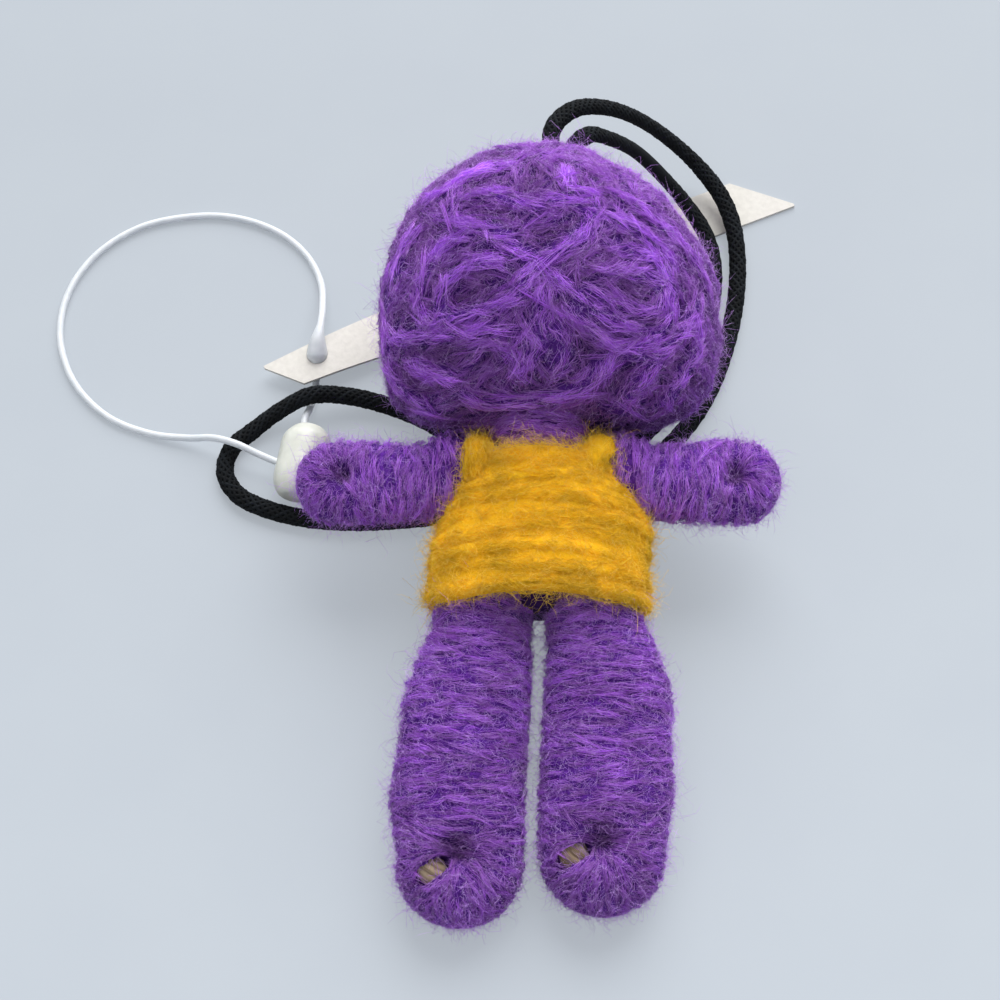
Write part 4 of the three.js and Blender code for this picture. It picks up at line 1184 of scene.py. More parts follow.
@dataclass
class Leg(Limb):
    """A leg, straight on its inner side and swelling outward to the calf, with a bare patch of its twine."""

    gap: float = 1.4
    drop: float = 2.2
    calf: float = 7.1
    swell: float = 2.4
    twine: float = 2.8  # diameter of the twine
    twine_rise: float = 2.75  # of the loop's twine towards the back
    hip_fullness: float = 0.6  # wool that fills out the leg below the hem
    lean: float = -0.75  # how far the foot lies to one side
    plies: int = 9
    ply_lay: float = 16.0  # length of one turn of a ply round the twine

    def build(self, rng: np.random.Generator) -> None:
        """Builds and dresses the leg's wool and its twine.

        Args:
            rng: source of the wool's lie.
        """
        super().build(rng)
        centre, across, ahead = self.tip_frame()
        stem = self.middle(np.arange(0.9 - self.root, self.length - self.loop_radius - 2, 1.7))[0]
        angle = np.radians(np.arange(60, 311, 25))[:, None]
        loop = centre + self.loop_radius * (across * np.sin(angle) - ahead * np.cos(angle))
        shown = np.exp(-(((angle - np.pi + math.radians(self.bare)) / 0.55) ** 2))
        loop = loop + BACK * (self.twine_rise - 1.3 * (1 - shown))
        route = spline(np.vstack([stem, loop]), 8)
        line = Line(route, np.broadcast_to(np.array([0.05, 0.1, 1.0]), route.shape))
        side, run = np.cross(line.outward, line.along), np.linspace(0, line.total, line.spans + 1)
        rope = Strands()
        rope.rope(line, 0.66 * self.twine / 2, 8)
        for i in range(self.plies):
            turn = 2 * np.pi * (run / self.ply_lay + i / self.plies)
            off = line.outward * np.cos(turn)[:, None] + side * np.sin(turn)[:, None]
            ply = Line(line.points + off * 0.36 * self.twine, off)
            rope.rope(ply, 0.17 * self.twine, 6, tone=rng.uniform(0.85, 1.1))
            spot = rng.uniform(0, ply.total, int(2 * ply.total))
            spread = rng.uniform(-0.12, 0.12, len(spot)) * self.twine
            rows = ply.rows(spot, spread, 0.34 * self.twine, 0.17 * self.twine)
            rope.add(TWINE_LOCKS.lay(rows, np.full(len(spot), 0.0), np.full(len(spot), 1.05), rng))
        plies = rope.build(f"{self.name}_twine_plies", JUTE.material())
        settle(plies, self.body, "twine", f"{self.name}_twine")

    def sizes(self, s: Array) -> tuple[Array, Array]:
        """Gives the half width and half depth at lengths along the leg."""
        t = np.clip(s / self.length, 0, 1)
        grown = 1 - (1 - t) ** self.swell
        wide = self.root + (self.calf - self.root) * grown - (self.calf - self.tip[0]) * smooth(0.7, 1, t)
        wide = wide + self.hip_fullness * (1 - smooth(6, 15, s))
        return wide, self.root + (self.tip[1] - self.root) * grown

    def middle(self, s: Array) -> tuple[Array, Array]:
        """Gives the axis and the direction across at lengths along the leg."""
        s = np.asarray(s, float)
        x = self.side.value * (self.gap / 2 + self.sizes(np.clip(s, 0, self.length))[0])
        x = x + self.lean * smooth(2, 22, s)
        across = np.broadcast_to(np.array([-1.0, 0, 0]), (*s.shape, 3))
        return np.stack([x, -self.drop - s, np.zeros(s.shape)], -1), across

    def ahead(self, along: Array) -> Array:
        """Turns a direction along the leg so that it points to the foot."""
        return along * -np.sign(along[..., 1:2] + 1e-9)


def clothe(line: Line, yarn: tuple[float, float], locks: Locks, density: float, tones: tuple[float, float],
           rng: np.random.Generator) -> Fibres:
    """Lays locks along a yarn.

    Args:
        line: the yarn's middle line.
        yarn: its width, and the height of its crown over that line.
        locks: the locks.
        density: how many of them on a millimetre of the yarn.
        tones: brightness at the yarn's sides, and how much brighter its crown is: painted shade at the sides
            and painted light on the crown.
        rng: source of the locks' places.

    Returns:
        The fibres.
    """
    run = np.sort(rng.uniform(0, line.total, int(density * line.total)))
    place = rng.uniform(-1, 1, len(run))
    walk = line.rows(run, place * yarn[0] / 2, *yarn)
    # Painted shade and light: each lock is painted darker towards the yarn's sides and brighter on its crown.
    return locks.lay(walk, rng.normal(0, 0.07, len(run)), tones[0] + tones[1] * (1 - place**2), rng)


@dataclass(frozen=True)
class Winding:
    """How purple yarn is wound round a part of the body."""

    yarn: tuple[float, float]  # width, and height of its crown over its middle line
    locks: Locks
    density: float  # locks on a millimetre of yarn
    tones: tuple[float, float]  # brightness at the yarn's sides, and how much brighter its crown is: painted shade and painted light
    hairs: int
    root: float = 0.3  # height of the hairs' roots over the middle line

    def dress(self, name: str, line: Line, rng: np.random.Generator) -> None:
        """Lays the wool and the fuzz along a yarn's middle line.

        Args:
            name: what the names of the pieces start with.
            line: the middle line.
            rng: source of the wool's lie.
        """
        fibres = clothe(line, self.yarn, self.locks, self.density, self.tones, rng)
        fleece(fibres, f"{name}_wool", PURPLE_WOOL.material(), Body.TORSO, "purple_wool")
        points, outward, along = line.at(rng.uniform(0, line.total, self.hairs))
        hairs = Fuzz().grow(points + self.root * outward, outward, along, rng)
        fleece(hairs, f"{name}_fuzz", LIT_PURPLE_FUZZ.material(), Body.TORSO, "purple_wool")


# Dress
@dataclass
class Dress:
    """The yellow yarn wound round the body, its two shoulder straps, and the padding under it."""

    bottom: float = -0.4  # height of the lowest turn over the hem line
    pitch: float = 1.84
    turns: float = 8.0
    bow: float = 0.8  # how far the turns rise over the back and the front
    widths: tuple[float, ...] = (10.85, 10.7, 10.1, 7.4)  # half widths from the hem up
    lean: float = 0.6  # how far its upper half sits to one side
    depths: tuple[float, ...] = (7.0, 7.0, 6.9, 6.2)  # half depths from the hem up
    strap_feet: tuple[float, float] = (-6.7, 5.0)  # where the straps leave the dress
    strap_tops: tuple[float, float] = (-6.3, 6.9)  # where they pass over the shoulders
    # A strap from its foot up: share of the way to its top, height over the dress, depth behind the shoulder
    strap_half: tuple[tuple[float, float, float], ...] = (
        (0.0, -2.5, 3.2), (0.1, -1.5, 4.7), (0.35, -0.1, 5.2), (0.65, 1.1, 4.7), (0.9, 2.2, 3.0))
    strap_rise: float = 2.5
    yarn: tuple[float, float] = (2.2, 1.0)  # width, and height of its crown over its middle line
    strap_yarns: tuple[tuple[float, float], ...] = ((2.6, 0.95), (3.3, 0.95))
    locks: Locks = Locks(length=2.4, width=0.7, fibres=9, radius=0.023, stray=0.35, crimp=0.12, loose=0.35)
    densities: tuple[float, float] = (3.4, 7.0)  # locks on a millimetre of the dress's yarn and of a strap's
    core: float = 0.97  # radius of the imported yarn
    lining: float = 0.78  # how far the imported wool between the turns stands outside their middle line
    inset: float = 1.0  # how far the padding lies inside it
    fuzz: Fuzz = Fuzz(standing=0.7)
    fuzz_count: int = 29000
    rim_fuzz: int = 4500  # hairs along the yarn at each edge, and on the lip of the lining
    strap_fuzz: int = 2600
    rim: float = 0.12  # share of the yarn at each end that lies at an edge of the dress
    parts: tuple[int, int] = (3, 4)  # pieces that the locks and the fuzz are split into

    @property
    def top(self) -> float:
        """Height of the uppermost turn."""
        return self.bottom + self.pitch * self.turns

    def section(self, y: Array) -> tuple[Array, Array]:
        """Gives the half width and half depth of the yarn's middle line at heights above the hem."""
        up = np.clip((y - self.bottom) / (self.top - self.bottom), 0, 1)
        table = spline([[i / 3, w, d] for i, (w, d) in enumerate(zip(self.widths, self.depths))], 12)
        return np.interp(up, table[:, 0], table[:, 1]), np.interp(up, table[:, 0], table[:, 2])

    def aside(self, y: Array) -> Array:
        """Gives how far the dress sits to one side at heights above the hem."""
        up = (y - self.bottom) / (self.top - self.bottom)
        return self.lean * np.sin(np.pi * np.clip(up - 0.3, 0, 0.7) / 0.7)

    def rings(self, y: Array, wide: Array, deep: Array) -> Array:
        """Draws ovals round the body.

        Args:
            y: their heights over the hem line.
            wide: their half widths.
            deep: their half depths.

        Returns:
            The points of each, in the order that faces a skin outward.
        """
        around = circle(40)
        return stacked(-wide[:, None] * np.cos(around), y[:, None], deep[:, None] * np.sin(around))[:, ::-1]

    def wound(self) -> Line:
        """Winds the dress yarn."""
        turns = np.linspace(0, self.turns, int(self.turns * 60))
        angle = 2 * np.pi * turns
        y = self.bottom + self.pitch * turns
        wide, deep = (size + 0.14 * np.sin(1.7 * angle + 2) for size in self.section(y))
        wander = 0.2 * np.sin(2.3 * angle) + 0.14 * np.sin(3.7 * angle + 1)
        x = wide * np.cos(angle) + self.aside(y)
        points = np.stack([x, y + self.bow * np.sin(angle) ** 2 + wander, deep * np.sin(angle)], -1)
        outward = unit(np.stack([np.cos(angle) / wide, 0 * angle, np.sin(angle) / deep], -1))
        return Line(points, outward)

    def strap(self, side: Side) -> Line:
        """Runs one strap over its shoulder."""
        which = 0 if side is Side.LEFT else 1
        foot, top = self.strap_feet[which], self.strap_tops[which]
        half = list(self.strap_half)
        route = [*half, (1.0, self.strap_rise, 0.0), *[(t, y, -z) for t, y, z in half[::-1]]]
        points = spline([[foot + (top - foot) * t, self.top + y, z] for t, y, z in route], 10)
        outward = unit(points - np.array([(foot + top) / 2, self.top - 4, 0]))
        return Line(points, outward)

    def lip(self, rng: np.random.Generator) -> tuple[Array, Array, Array]:
        """Spreads points over the upper lip of the dress's lining.

        Args:
            rng: source of their places.

        Returns:
            The points, the direction away from the doll and the direction round it at each.
        """
        turn = rng.uniform(0, 2 * np.pi, self.rim_fuzz)
        rise = rng.uniform(-0.1, 0.45, self.rim_fuzz)
        top = np.array([self.top])
        wide, deep = (size + 0.76 for size in self.section(top))
        x, z = -wide * np.cos(turn), deep * np.sin(turn)
        points = np.stack([x + self.aside(top), self.top + rise + self.bow * np.sin(turn) ** 2, z], -1)
        outward = unit(np.stack([x / wide**2, 0.1 + 0.1 * rise, z / deep**2], -1))
        around = unit(np.stack([wide * np.sin(turn), np.zeros(len(turn)), deep * np.cos(turn)], -1))
        return points, outward, around

    def build(self, rng: np.random.Generator) -> None:
        """Builds and dresses the dress, its straps and the body's padding.

        Args:
            rng: source of the wool's lie.
        """
        wool, loose, packed = (finish.material() for finish in YELLOW)
        y = np.concatenate([np.linspace(self.top + 0.3, 2.7, 18), [1.2, -0.9]])  # last two between the legs
        wide, deep = (size - self.inset for size in self.section(y))
        drawn = np.array([0.86, *[1.0] * 16, 0.86])
        wide, deep = wide * np.array([*drawn, 0.3, 0.2]), deep * np.array([*drawn, 0.8, 0.7])
        # Painted shade: the padding's rings that reach down between the legs are painted dark, a dark wedge
        # where shade falls.
        shade = np.where(y < 3, 0.25, 1.0)[:, None]
        padding = loft("torso_packed_wool", self.rings(y, wide, deep), SHADED_PURPLE_UNDER.material(), tone=shade)
        settle(padding, Body.TORSO, "purple_wool", "torso_padding")
        y = np.concatenate([[self.top + 0.5], np.linspace(self.top + 0.2, self.bottom, 20), [3.0]])
        ends = np.where((y == y[0]) | (y == y[-1]), 0.88, 1.0)
        wide, deep = ((size + self.lining) * ends for size in self.section(y))
        rings = self.rings(y, wide, deep)
        rings[..., 0] += self.aside(y)[:, None]
        rings[..., 1] += self.bow * np.sin(circle(40)[::-1]) ** 2
        settle(loft("dress_packed_wool", rings, packed), Body.TORSO, "yellow_wool")
        line = self.wound()
        core = Strands()
        core.rope(line, self.core)
        settle(core.build("dress_packed_yarn", packed), Body.TORSO, "yellow_wool", "dress_winding")
        # Painted light on the dress yarn's crowns, through the tones given to clothe.
        fibres = clothe(line, self.yarn, self.locks, self.densities[0], (1.04, 0.06), rng)
        fleece(fibres, "dress_wool", wool, Body.TORSO, "yellow_wool", self.parts[0])
        self.fluff(line, loose, rng)
        for side, word, yarn in zip((Side.LEFT, Side.RIGHT), ("left", "right"), self.strap_yarns):
            line = self.strap(side)
            rope = Strands()
            rope.rope(line, yarn[0] / 2 - 0.05, flat=0.7)
            packed_strap = rope.build(f"{word}_strap_packed_yarn", packed)
            settle(packed_strap, Body.TORSO, "yellow_wool", f"{word}_strap")
            fibres = clothe(line, yarn, self.locks, self.densities[1], (1.02, 0.08), rng)
            fleece(fibres, f"{word}_strap_wool", wool, Body.TORSO, "yellow_wool")
            points, outward, along = line.at(rng.uniform(0, line.total, self.strap_fuzz))
            tip = rng.uniform(-1.5, 1.5, self.strap_fuzz)[:, None]
            off = np.cross(outward, along) * np.sin(tip)
            roots = points + off * (yarn[0] / 2 - 0.1) + outward * np.cos(tip) * 0.8
            hairs = self.fuzz.grow(roots, unit(outward * np.cos(tip) + off), along, rng)
            fleece(hairs, f"{word}_strap_fuzz", loose, Body.TORSO, "yellow_wool")

    def fluff(self, line: Line, loose: bpy.types.Material, rng: np.random.Generator) -> None:
        """Grows the dress's fuzz, denser along its edges.

        Args:
            line: the yarn's middle line.
            loose: the finish of loose hairs.
            rng: source of the hairs' lie.
        """
        rim = self.rim * rng.uniform(0, 1, (2, self.rim_fuzz))
        run = line.total * np.concatenate([rng.uniform(0, 1, self.fuzz_count), rim[0], 1 - rim[1]])
        points, outward, along = line.at(run)
        reach = np.where(np.arange(len(run)) < self.fuzz_count, 1.1, 2.1)
        tip = (reach * rng.uniform(-1, 1, len(run)))[:, None]
        across = np.cross(outward, along)
        roots = points + across * np.sin(tip) * 0.95 + outward * np.cos(tip) * 0.85
        lip, lip_outward, lip_along = self.lip(rng)
        roots, along = np.vstack([roots, lip]), np.vstack([along, lip_along])
        outward = np.vstack([unit(outward + across * tip * 0.5), lip_outward])
        hairs = self.fuzz.grow(roots, outward, along, rng)
        fleece(hairs, "dress_fuzz", loose, Body.TORSO, "yellow_wool", self.parts[1])


@dataclass
class Neck:
    """The lump of wool that joins the head to the body."""

    bottom: float = 14.92
    profile: tuple[tuple[float, float], ...] = ((0.0, 4.7), (1.2, 5.4), (3.0, 5.4), (4.6, 4.8), (5.6, 4.0))
    packed: float = 0.5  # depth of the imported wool
    turns: float = 5.2
    winding: Winding = Winding(
        (1.5, 0.45), Locks(length=3.0, width=0.5, stray=0.18, bow=0.06, loose=0.25), 2.6, (0.72, 0.32), 700)

    def build(self, rng: np.random.Generator) -> None:
        """Builds and dresses the neck's wool.

        Args:
            rng: source of the wool's lie.
        """
        heights, radii = zip(*self.profile)
        around = circle(36)
        y = np.linspace(heights[0], heights[-1], 10)[:, None]
        radius = np.interp(y, heights, radii) - self.packed
        rings = stacked(radius * np.cos(around), self.bottom + y, -radius * np.sin(around))
        core = loft("neck_packed_wool", rings, SHADED_PURPLE_UNDER.material())
        settle(core, Body.TORSO, "purple_wool", "neck_winding")
        turns = np.linspace(0, self.turns, 320)
        y = np.interp(turns, [0, self.turns], [0.3, 5.3])
        angle = 2 * np.pi * turns
        radius = np.interp(y, heights, radii) - self.packed + 0.35 * np.clip(np.sin(angle), 0, 1)
        lift = 1.1 * np.sin(angle)
        points = np.stack([radius * np.cos(angle), self.bottom + y + lift, radius * np.sin(angle)], -1)
        outward = np.stack([np.cos(angle), 0.1 * np.ones_like(angle), np.sin(angle)], -1)
        self.winding.dress("neck", Line(points, unit(outward)), rng)


@dataclass
class Shoulders:
    """The wool wound over the twine between the arms, which fills out the shoulders."""

    height: float = 13.22
    half_span: float = 12.4
    radius: float = 3.75
    pitch: float = 0.95
    packed: float = 0.4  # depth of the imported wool
    winding: Winding = Winding((1.3, 0.4), WOUND_LOCKS, 1.1, (0.74, 0.3), 1400)

    def girth(self, x: Array) -> tuple[Array, Array]:
        """Gives the height of the roll's middle and its radius at distances across."""
        swell = np.exp(-(((np.abs(x) - 9) / 3.2) ** 2))
        return self.height + 0.5 * swell, self.radius - self.packed + 1.3 * swell

    def build(self, rng: np.random.Generator) -> None:
        """Builds and dresses the shoulders' wool.

        Args:
            rng: source of the wool's lie.
        """
        x = np.linspace(-self.half_span, self.half_span, 12)[:, None]
        around = circle(32)
        height, radius = self.girth(x)
        rings = stacked(x, height + radius * np.cos(around), radius * np.sin(around))
        settle(loft("shoulder_packed_wool", rings, SHADED_PURPLE_UNDER.material()), Body.TORSO, "purple_wool")
        share = np.linspace(0, 2 * self.half_span / self.pitch, 1200)
        angle = 2 * np.pi * share
        x = -self.half_span + self.pitch * share + 0.4 * np.sin(angle)
        height, radius = self.girth(x)
        points = np.stack([x, height + radius * np.cos(angle), radius * np.sin(angle)], -1)
        line = Line(points, np.stack([0 * x, np.cos(angle), np.sin(angle)], -1))
        self.winding.dress("shoulder", line, rng)


# Cord and tag
@dataclass
class HangingCord:
    """The braided cord that loops out of the crown, as it was dropped."""

    diameter: float = 2.0
    length: float = 234.2
    crown: tuple[float, float, float] = (2.6, 51.52, 0.0)
    spacing: float = 2.7
    knot_depth: float = 2.6
    strands: int = 16
    strand_radius: float = 0.2
    core: float = 0.78  # radius under the strands
    braid: tuple[float, float] = (0.83, 0.055)  # radius of the strands' middle lines, and its rise and fall
    lay_length: float = 7.0  # one turn of a strand round the cord
    laid_up: tuple[float, float, float] = (0.1, 0.2, 1.0)  # direction that the braid is laid out from
    route: tuple[tuple[float, float, float], ...] = (
        (1.7, 44.2, 19.4), (3.9, 47.3, 18.1), (7.3, 49.7, 15.0), (11.1, 51.1, 10.9), (15.0, 50.9, 6.9),
        (18.5, 49.2, 3.9), (21.2, 46.0, 2.5), (22.6, 42.0, 1.98), (23.0, 37.2, 1.3), (22.5, 31.8, 1.02),
        (21.3, 26.5, 1.02), (19.5, 21.4, 1.02), (17.0, 16.9, 1.02), (13.3, 12.7, 1.02), (8.0, 9.2, 1.02),
        (1.2, 7.2, 1.02), (-6.4, 6.0, 1.02), (-13.6, 5.0, 1.02), (-20.0, 4.6, 1.02), (-25.6, 5.0, 1.02),
        (-30.4, 6.3, 1.02), (-33.4, 8.0, 1.02), (-34.9, 10.7, 1.02), (-34.3, 13.6, 1.02), (-32.0, 15.9, 1.05),
        (-28.9, 18.0, 2.0), (-25.5, 19.4, 2.9), (-21.3, 19.8, 1.9), (-16.8, 19.0, 1.05), (-12.4, 17.0, 1.02),
        (-8.4, 14.2, 1.02), (-4.2, 11.6, 1.02), (1.0, 10.5, 1.02), (6.6, 11.8, 1.02), (11.2, 14.9, 1.02),
        (14.5, 18.6, 1.02), (16.9, 22.5, 1.02), (18.6, 26.9, 1.02), (19.8, 31.7, 1.05), (20.2, 36.4, 1.8),
        (19.4, 40.2, 2.7), (17.3, 43.2, 4.3), (14.3, 45.3, 7.4), (11.0, 45.9, 11.8), (7.9, 45.0, 15.8),
        (5.6, 43.7, 18.5),
    )

    def end(self, side: Side, rise: float) -> Array:
        """Gives a point of one strand where it comes out of the knot, in the row frame."""
        x, y, z = self.crown
        return LIE.place(np.array([x + side.value * self.spacing / 2, y - self.knot_depth + rise, z]))

    def build(self) -> None:
        """Builds and dresses the cord."""
        points = [self.end(Side.LEFT, 0.3), self.end(Side.LEFT, self.knot_depth), *self.route,
                  self.end(Side.RIGHT, self.knot_depth), self.end(Side.RIGHT, 0.3)]
        curve = spline(points, 12)
        line = Line(curve, np.broadcast_to(np.array(self.laid_up), curve.shape), step=0.33)
        across = np.cross(line.outward, line.along)
        run = np.linspace(0, line.total, line.spans + 1)
        core = Strands()
        core.rope(line, self.core, 12, in_row=True)
        for i in range(self.strands):
            way = 1 if i % 2 else -1
            pair = i // 2
            turn = way * 2 * np.pi * run / self.lay_length + 4 * np.pi * pair / self.strands
            wave = self.strands / 4 * (2 * np.pi * run / self.lay_length) * 2
            radius = self.braid[0] + self.braid[1] * np.sin(wave + np.pi * (pair + i % 2))
            off = line.outward * np.cos(turn)[:, None] + across * np.sin(turn)[:, None]
            strand = Line(line.points + off * radius[:, None], off, step=0.34)
            core.rope(strand, self.strand_radius, 5, in_row=True)
        piece = core.build("hanging_cord_braid", CORD_BLACK.material())
        settle(piece, Body.HEAD, "black_cord", "hanging_cord")


@dataclass
class HangTag:
    """The clear loop through the blank card, and the lock that closes the loop."""

    loop_diameter: float = 0.8
    loop_length: float = 101.3
    lock_centre: tuple[float, float] = (-26.2, 11.2)
    lock_radius: float = 2.5
    lock_length: float = 8.4
    lock_tilt: float = 10.0  # degrees, its top to the right
    hole: tuple[float, float, float] = (-25.1, 25.15, 1.85)  # where the loop passes the card
    stem: float = 0.8  # how much thicker the loop is moulded there
    lock_stretch: tuple[float, float] = (1.12, 1.03)  # how much wider and longer the lock is drawn
    route: tuple[tuple[float, float, float], ...] = (
        (-26.1, 17.0, 2.2), (-25.8, 18.3, 1.4), (-25.6, 19.5, 0.9), (-25.3, 21.4, 0.5),
        (-25.15, 23.3, 0.75), (-25.1, 25.15, 1.85), (-24.95, 26.9, 2.95), (-24.7, 28.6, 3.1),
        (-24.7, 31.8, 1.9), (-25.1, 35.2, 0.75), (-26.6, 38.6, 0.45), (-29.2, 41.4, 0.45),
        (-32.8, 43.4, 0.45), (-37.0, 44.4, 0.45), (-41.6, 44.2, 0.45), (-46.6, 42.8, 0.45),
        (-51.3, 39.2, 0.45), (-54.2, 34.0, 0.45), (-54.7, 28.2, 0.45), (-52.7, 22.4, 0.45),
        (-48.6, 18.0, 0.45), (-43.6, 15.8, 0.5), (-39.1, 14.9, 1.2), (-36.2, 14.3, 2.4),
        (-33.6, 13.3, 2.95), (-31.2, 12.2, 2.7),
    )

    def build(self) -> None:
        """Builds and dresses the loop and the lock."""
        x, y, z = *self.lock_centre, self.lock_radius
        half = self.lock_length / 2
        points = [(x, y + half - 1.2, z), (x, y + half, z), *self.route, (x - self.lock_radius, y, z),
                  (x + 1.2 - self.lock_radius, y, z)]
        curve = spline(points, 12)
        line = Line(curve, np.broadcast_to(np.array([0.1, 0.2, 1.0]), curve.shape), step=0.4)
        hole = np.argmin(np.linalg.norm(line.points - np.array(self.hole), axis=1))
        past = (np.arange(len(line.points)) - hole) * line.total / line.spans
        stem = np.where(past < 0, 1 - smooth(0, 1.2, -past), 1 - smooth(0, 4.2, past))
        rope = Strands()
        rope.rope(line, self.loop_diameter / 2 + self.stem * stem, 16, in_row=True)
        loop = rope.build("tag_nylon_loop", NYLON_LINE.material())
        settle(loop, Body.HEAD, "clear_plastic", "tag_loop")
        profile = [
            [0.9, -half + 0.05], [1.3, -half], [1.75, -half + 0.25], [2.2, -half + 1.0], [2.44, -half + 1.9],
            [2.5, -half + 2.6], [2.5, 0.5], [2.5, half - 2.0], [2.36, half - 1.3], [2.0, half - 0.7],
            [1.6, half - 0.2], [1.3, half], [0.7, half - 0.05], [0.55, half - 0.6]]
        shape = spline([[r, h, 0] for r, h in profile], 4)
        turn, tilt = circle(48), math.radians(self.lock_tilt)
        sin, cos = math.sin(tilt), math.cos(tilt)
        across = self.lock_stretch[0] * shape[:, :1] * np.cos(turn)
        rise = self.lock_stretch[1] * shape[:, 1:2]
        depth = z - shape[:, :1] * np.sin(turn)
        rings = stacked(x + across * cos + rise * sin, y + rise * cos - across * sin, depth)
        lock = loft("tag_barrel_lock", rings, NYLON.material(), in_row=True)
        settle(lock, Body.HEAD, "milky_plastic", "tag_lock")


def dress_nodes(finish: bpy.types.Material, *nodes: str) -> None:
    """Gives CAD nodes whose shape is right a finish of their own."""
    for node in nodes:
        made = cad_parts[node]
        made.data.materials.clear()
        made.data.materials.append(finish)
        log.info("%s: CAD node with %s", node, finish.name)


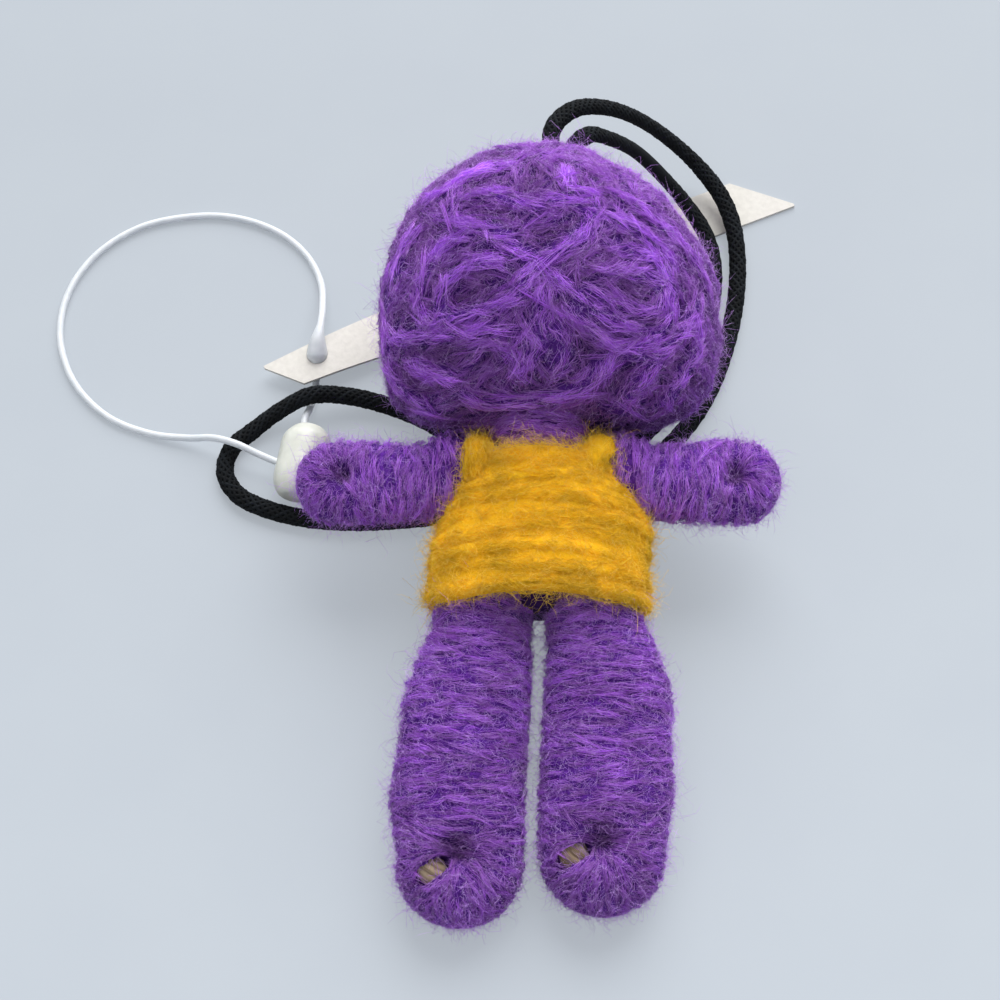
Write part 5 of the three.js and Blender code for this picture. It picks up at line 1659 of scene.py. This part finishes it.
# Studio
@dataclass
class Studio:
    """The table, the soft lights and the camera."""

    elevation: float = 65.0
    distance: float = 280.0
    target: tuple[float, float, float] = (0.0, 0.0, 8.0)
    focal_pixels: float = 2612.8  # for an image 1000 pixels wide
    target_pixel: tuple[float, float] = (538.5, 533.0)
    edge: float = 4.0  # half the table's side, in metres
    pale: str = "#CAD1D9"  # colour that the table shows
    pale_share: float = 0.6  # how much of that is its own glow
    fade: tuple[float, float] = (1.02, 0.82)  # the glow near the camera and beyond the doll
    soft_light: float = 0.56  # strength of the surrounding light

    def camera(self) -> None:
        """Places the camera at the photograph's viewing angle."""
        data = bpy.data.cameras.new("camera")
        made = bpy.data.objects.new("camera", data)
        bpy.context.scene.collection.objects.link(made)
        tip = math.radians(self.elevation)
        x, y, z = self.target
        y, z = y - self.distance * math.cos(tip), z + self.distance * math.sin(tip)
        made.location = (x * MM, y * MM, z * MM)
        made.rotation_euler = (math.pi / 2 - tip, 0, 0)
        data.sensor_width = 36
        data.lens = self.focal_pixels * data.sensor_width / 1000
        data.shift_x = (500 - self.target_pixel[0]) / 1000
        data.shift_y = (self.target_pixel[1] - 500) / 1000
        data.clip_start, data.clip_end = 0.01, 10
        bpy.context.scene.camera = made

    def lamp(self, name: str, place: Sequence[float], size: float, power: float, colour: str) -> None:
        """Hangs one soft lamp that faces the doll.

        Args:
            name: its name.
            place: where it hangs, in metres.
            size: its width.
            power: its power in watts.
            colour: its colour.
        """
        data = bpy.data.lights.new(name, "AREA")
        data.shape, data.size, data.energy = "DISK", size, power
        data.color = linear(colour)[:3]
        made = bpy.data.objects.new(name, data)
        made.location = place
        away = np.array(place) / np.linalg.norm(place)
        made.rotation_euler = (math.acos(away[2]), 0, math.atan2(away[0], -away[1]))
        bpy.context.scene.collection.objects.link(made)

    @staticmethod
    def shown(tree: bpy.types.NodeTree) -> bpy.types.NodeSocket:
        """Tells the rays that show the background apart from those that carry its light."""
        path = add_node(tree, "ShaderNodeLightPath", {}, {})
        glossy = add_node(tree, "ShaderNodeMath", {"operation": "MAXIMUM"},
                          {"0": path.outputs["Is Camera Ray"], "1": path.outputs["Is Glossy Ray"]})
        return add_node(tree, "ShaderNodeMath", {"operation": "MAXIMUM"},
                        {"0": glossy.outputs[0], "1": path.outputs["Is Transmission Ray"]}).outputs[0]

    def build(self) -> None:
        """Builds the table, the lamps and the surrounding light."""
        corners = [(x * self.edge, y * self.edge, 0) for x, y in ((-1, -1), (1, -1), (1, 1), (-1, 1))]
        mesh = bpy.data.meshes.new("table")
        mesh.from_pydata(corners, [], [(0, 1, 2, 3)])
        top = TABLE.material()
        piece_of("table", mesh, top)
        tree = top.node_tree
        kinds = {node.type: node for node in tree.nodes}
        lit, out = kinds["BSDF_PRINCIPLED"], kinds["OUTPUT_MATERIAL"]
        place = add_node(tree, "ShaderNodeTexCoord", {}, {})
        axes = add_node(tree, "ShaderNodeSeparateXYZ", {}, {"Vector": place.outputs["Object"]})
        level = add_node(tree, "ShaderNodeMapRange", {
            "From Min": -0.05, "From Max": 0.06, "To Min": self.fade[0], "To Max": self.fade[1]},
            {"Value": axes.outputs["Y"]})
        pale = add_node(tree, "ShaderNodeEmission", {"Color": linear(self.pale)},
                        {"Strength": level.outputs["Result"]})
        share = add_node(tree, "ShaderNodeMath", {"operation": "MULTIPLY", "1": self.pale_share},
                         {"0": self.shown(tree)})
        mix = add_node(tree, "ShaderNodeMixShader", {},
                       {"Fac": share.outputs[0], "1": lit.outputs[0], "2": pale.outputs[0]})
        tree.links.new(mix.outputs[0], out.inputs["Surface"])
        self.lamp("window", (0.3, 1.3, 1.15), 2.0, 52.0, "#FFFFFF")
        self.lamp("fill", (-0.5, -0.5, 0.9), 0.8, 1.0, "#FFFDF8")
        world = bpy.data.worlds.new("surrounding")
        bpy.context.scene.world = world
        world.use_nodes = True
        tree = world.node_tree
        tree.nodes.clear()
        soft = add_node(tree, "ShaderNodeBackground", {
            "Color": linear("#EEF2F8"), "Strength": self.soft_light}, {})
        seen = add_node(tree, "ShaderNodeBackground", {"Color": linear("#E4E9EE"), "Strength": 1.0}, {})
        mix = add_node(tree, "ShaderNodeMixShader", {}, {
            "Fac": self.shown(tree), "1": soft.outputs[0], "2": seen.outputs[0]})
        add_node(tree, "ShaderNodeOutputWorld", {}, {"Surface": mix.outputs[0]})
        bpy.context.scene.view_settings.view_transform = "Standard"


def limbs() -> list[Limb]:
    """Lists the four limbs."""
    made: list[Limb] = []
    for side, word, arm, leg, shin, bare in (
        (Side.LEFT, "left", Body.LEFT_ARM, Body.LEFT_LEG, 25.1, 54.0),
        (Side.RIGHT, "right", Body.RIGHT_ARM, Body.RIGHT_LEG, 24.0, 64.0),
    ):
        made.append(Arm(f"{word}_arm", arm, side, 8.2, 4.0, (4.6, 4.2), 2.0, -3.4, (1.1, 2.2)))
        made.append(Leg(f"{word}_leg", leg, side, shin, 4.6, (6.6, 5.2), 3.3, -3.6, (1.5, 2.4), bare))
    return made


def main() -> None:
    """Builds the scene in order."""
    logging.basicConfig(level=logging.INFO, format="%(name)s: %(message)s")
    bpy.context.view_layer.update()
    rng = np.random.default_rng(11)
    studio = Studio()
    studio.camera()
    HangingCord().build()
    HangTag().build()
    Head().build(rng)
    Neck().build(rng)
    Shoulders().build(rng)
    Dress().build(rng)
    for limb in limbs():
        limb.build(rng)
    dress_nodes(JUTE_CORE.material(), "neck_twine", "spine_twine", "shoulder_twine",
                "left_arm_twine", "right_arm_twine")
    dress_nodes(FOAM.material(), "head_core")
    dress_nodes(CORD_BLACK.material(), "cord_knot")
    dress_nodes(BEAD.material(), "left_eye", "right_eye")
    dress_nodes(THREAD_BLACK.material(), "mouth_thread")
    dress_nodes(CARD.material(), "tag_card")
    studio.build()


if __name__ == "__main__":
    main()
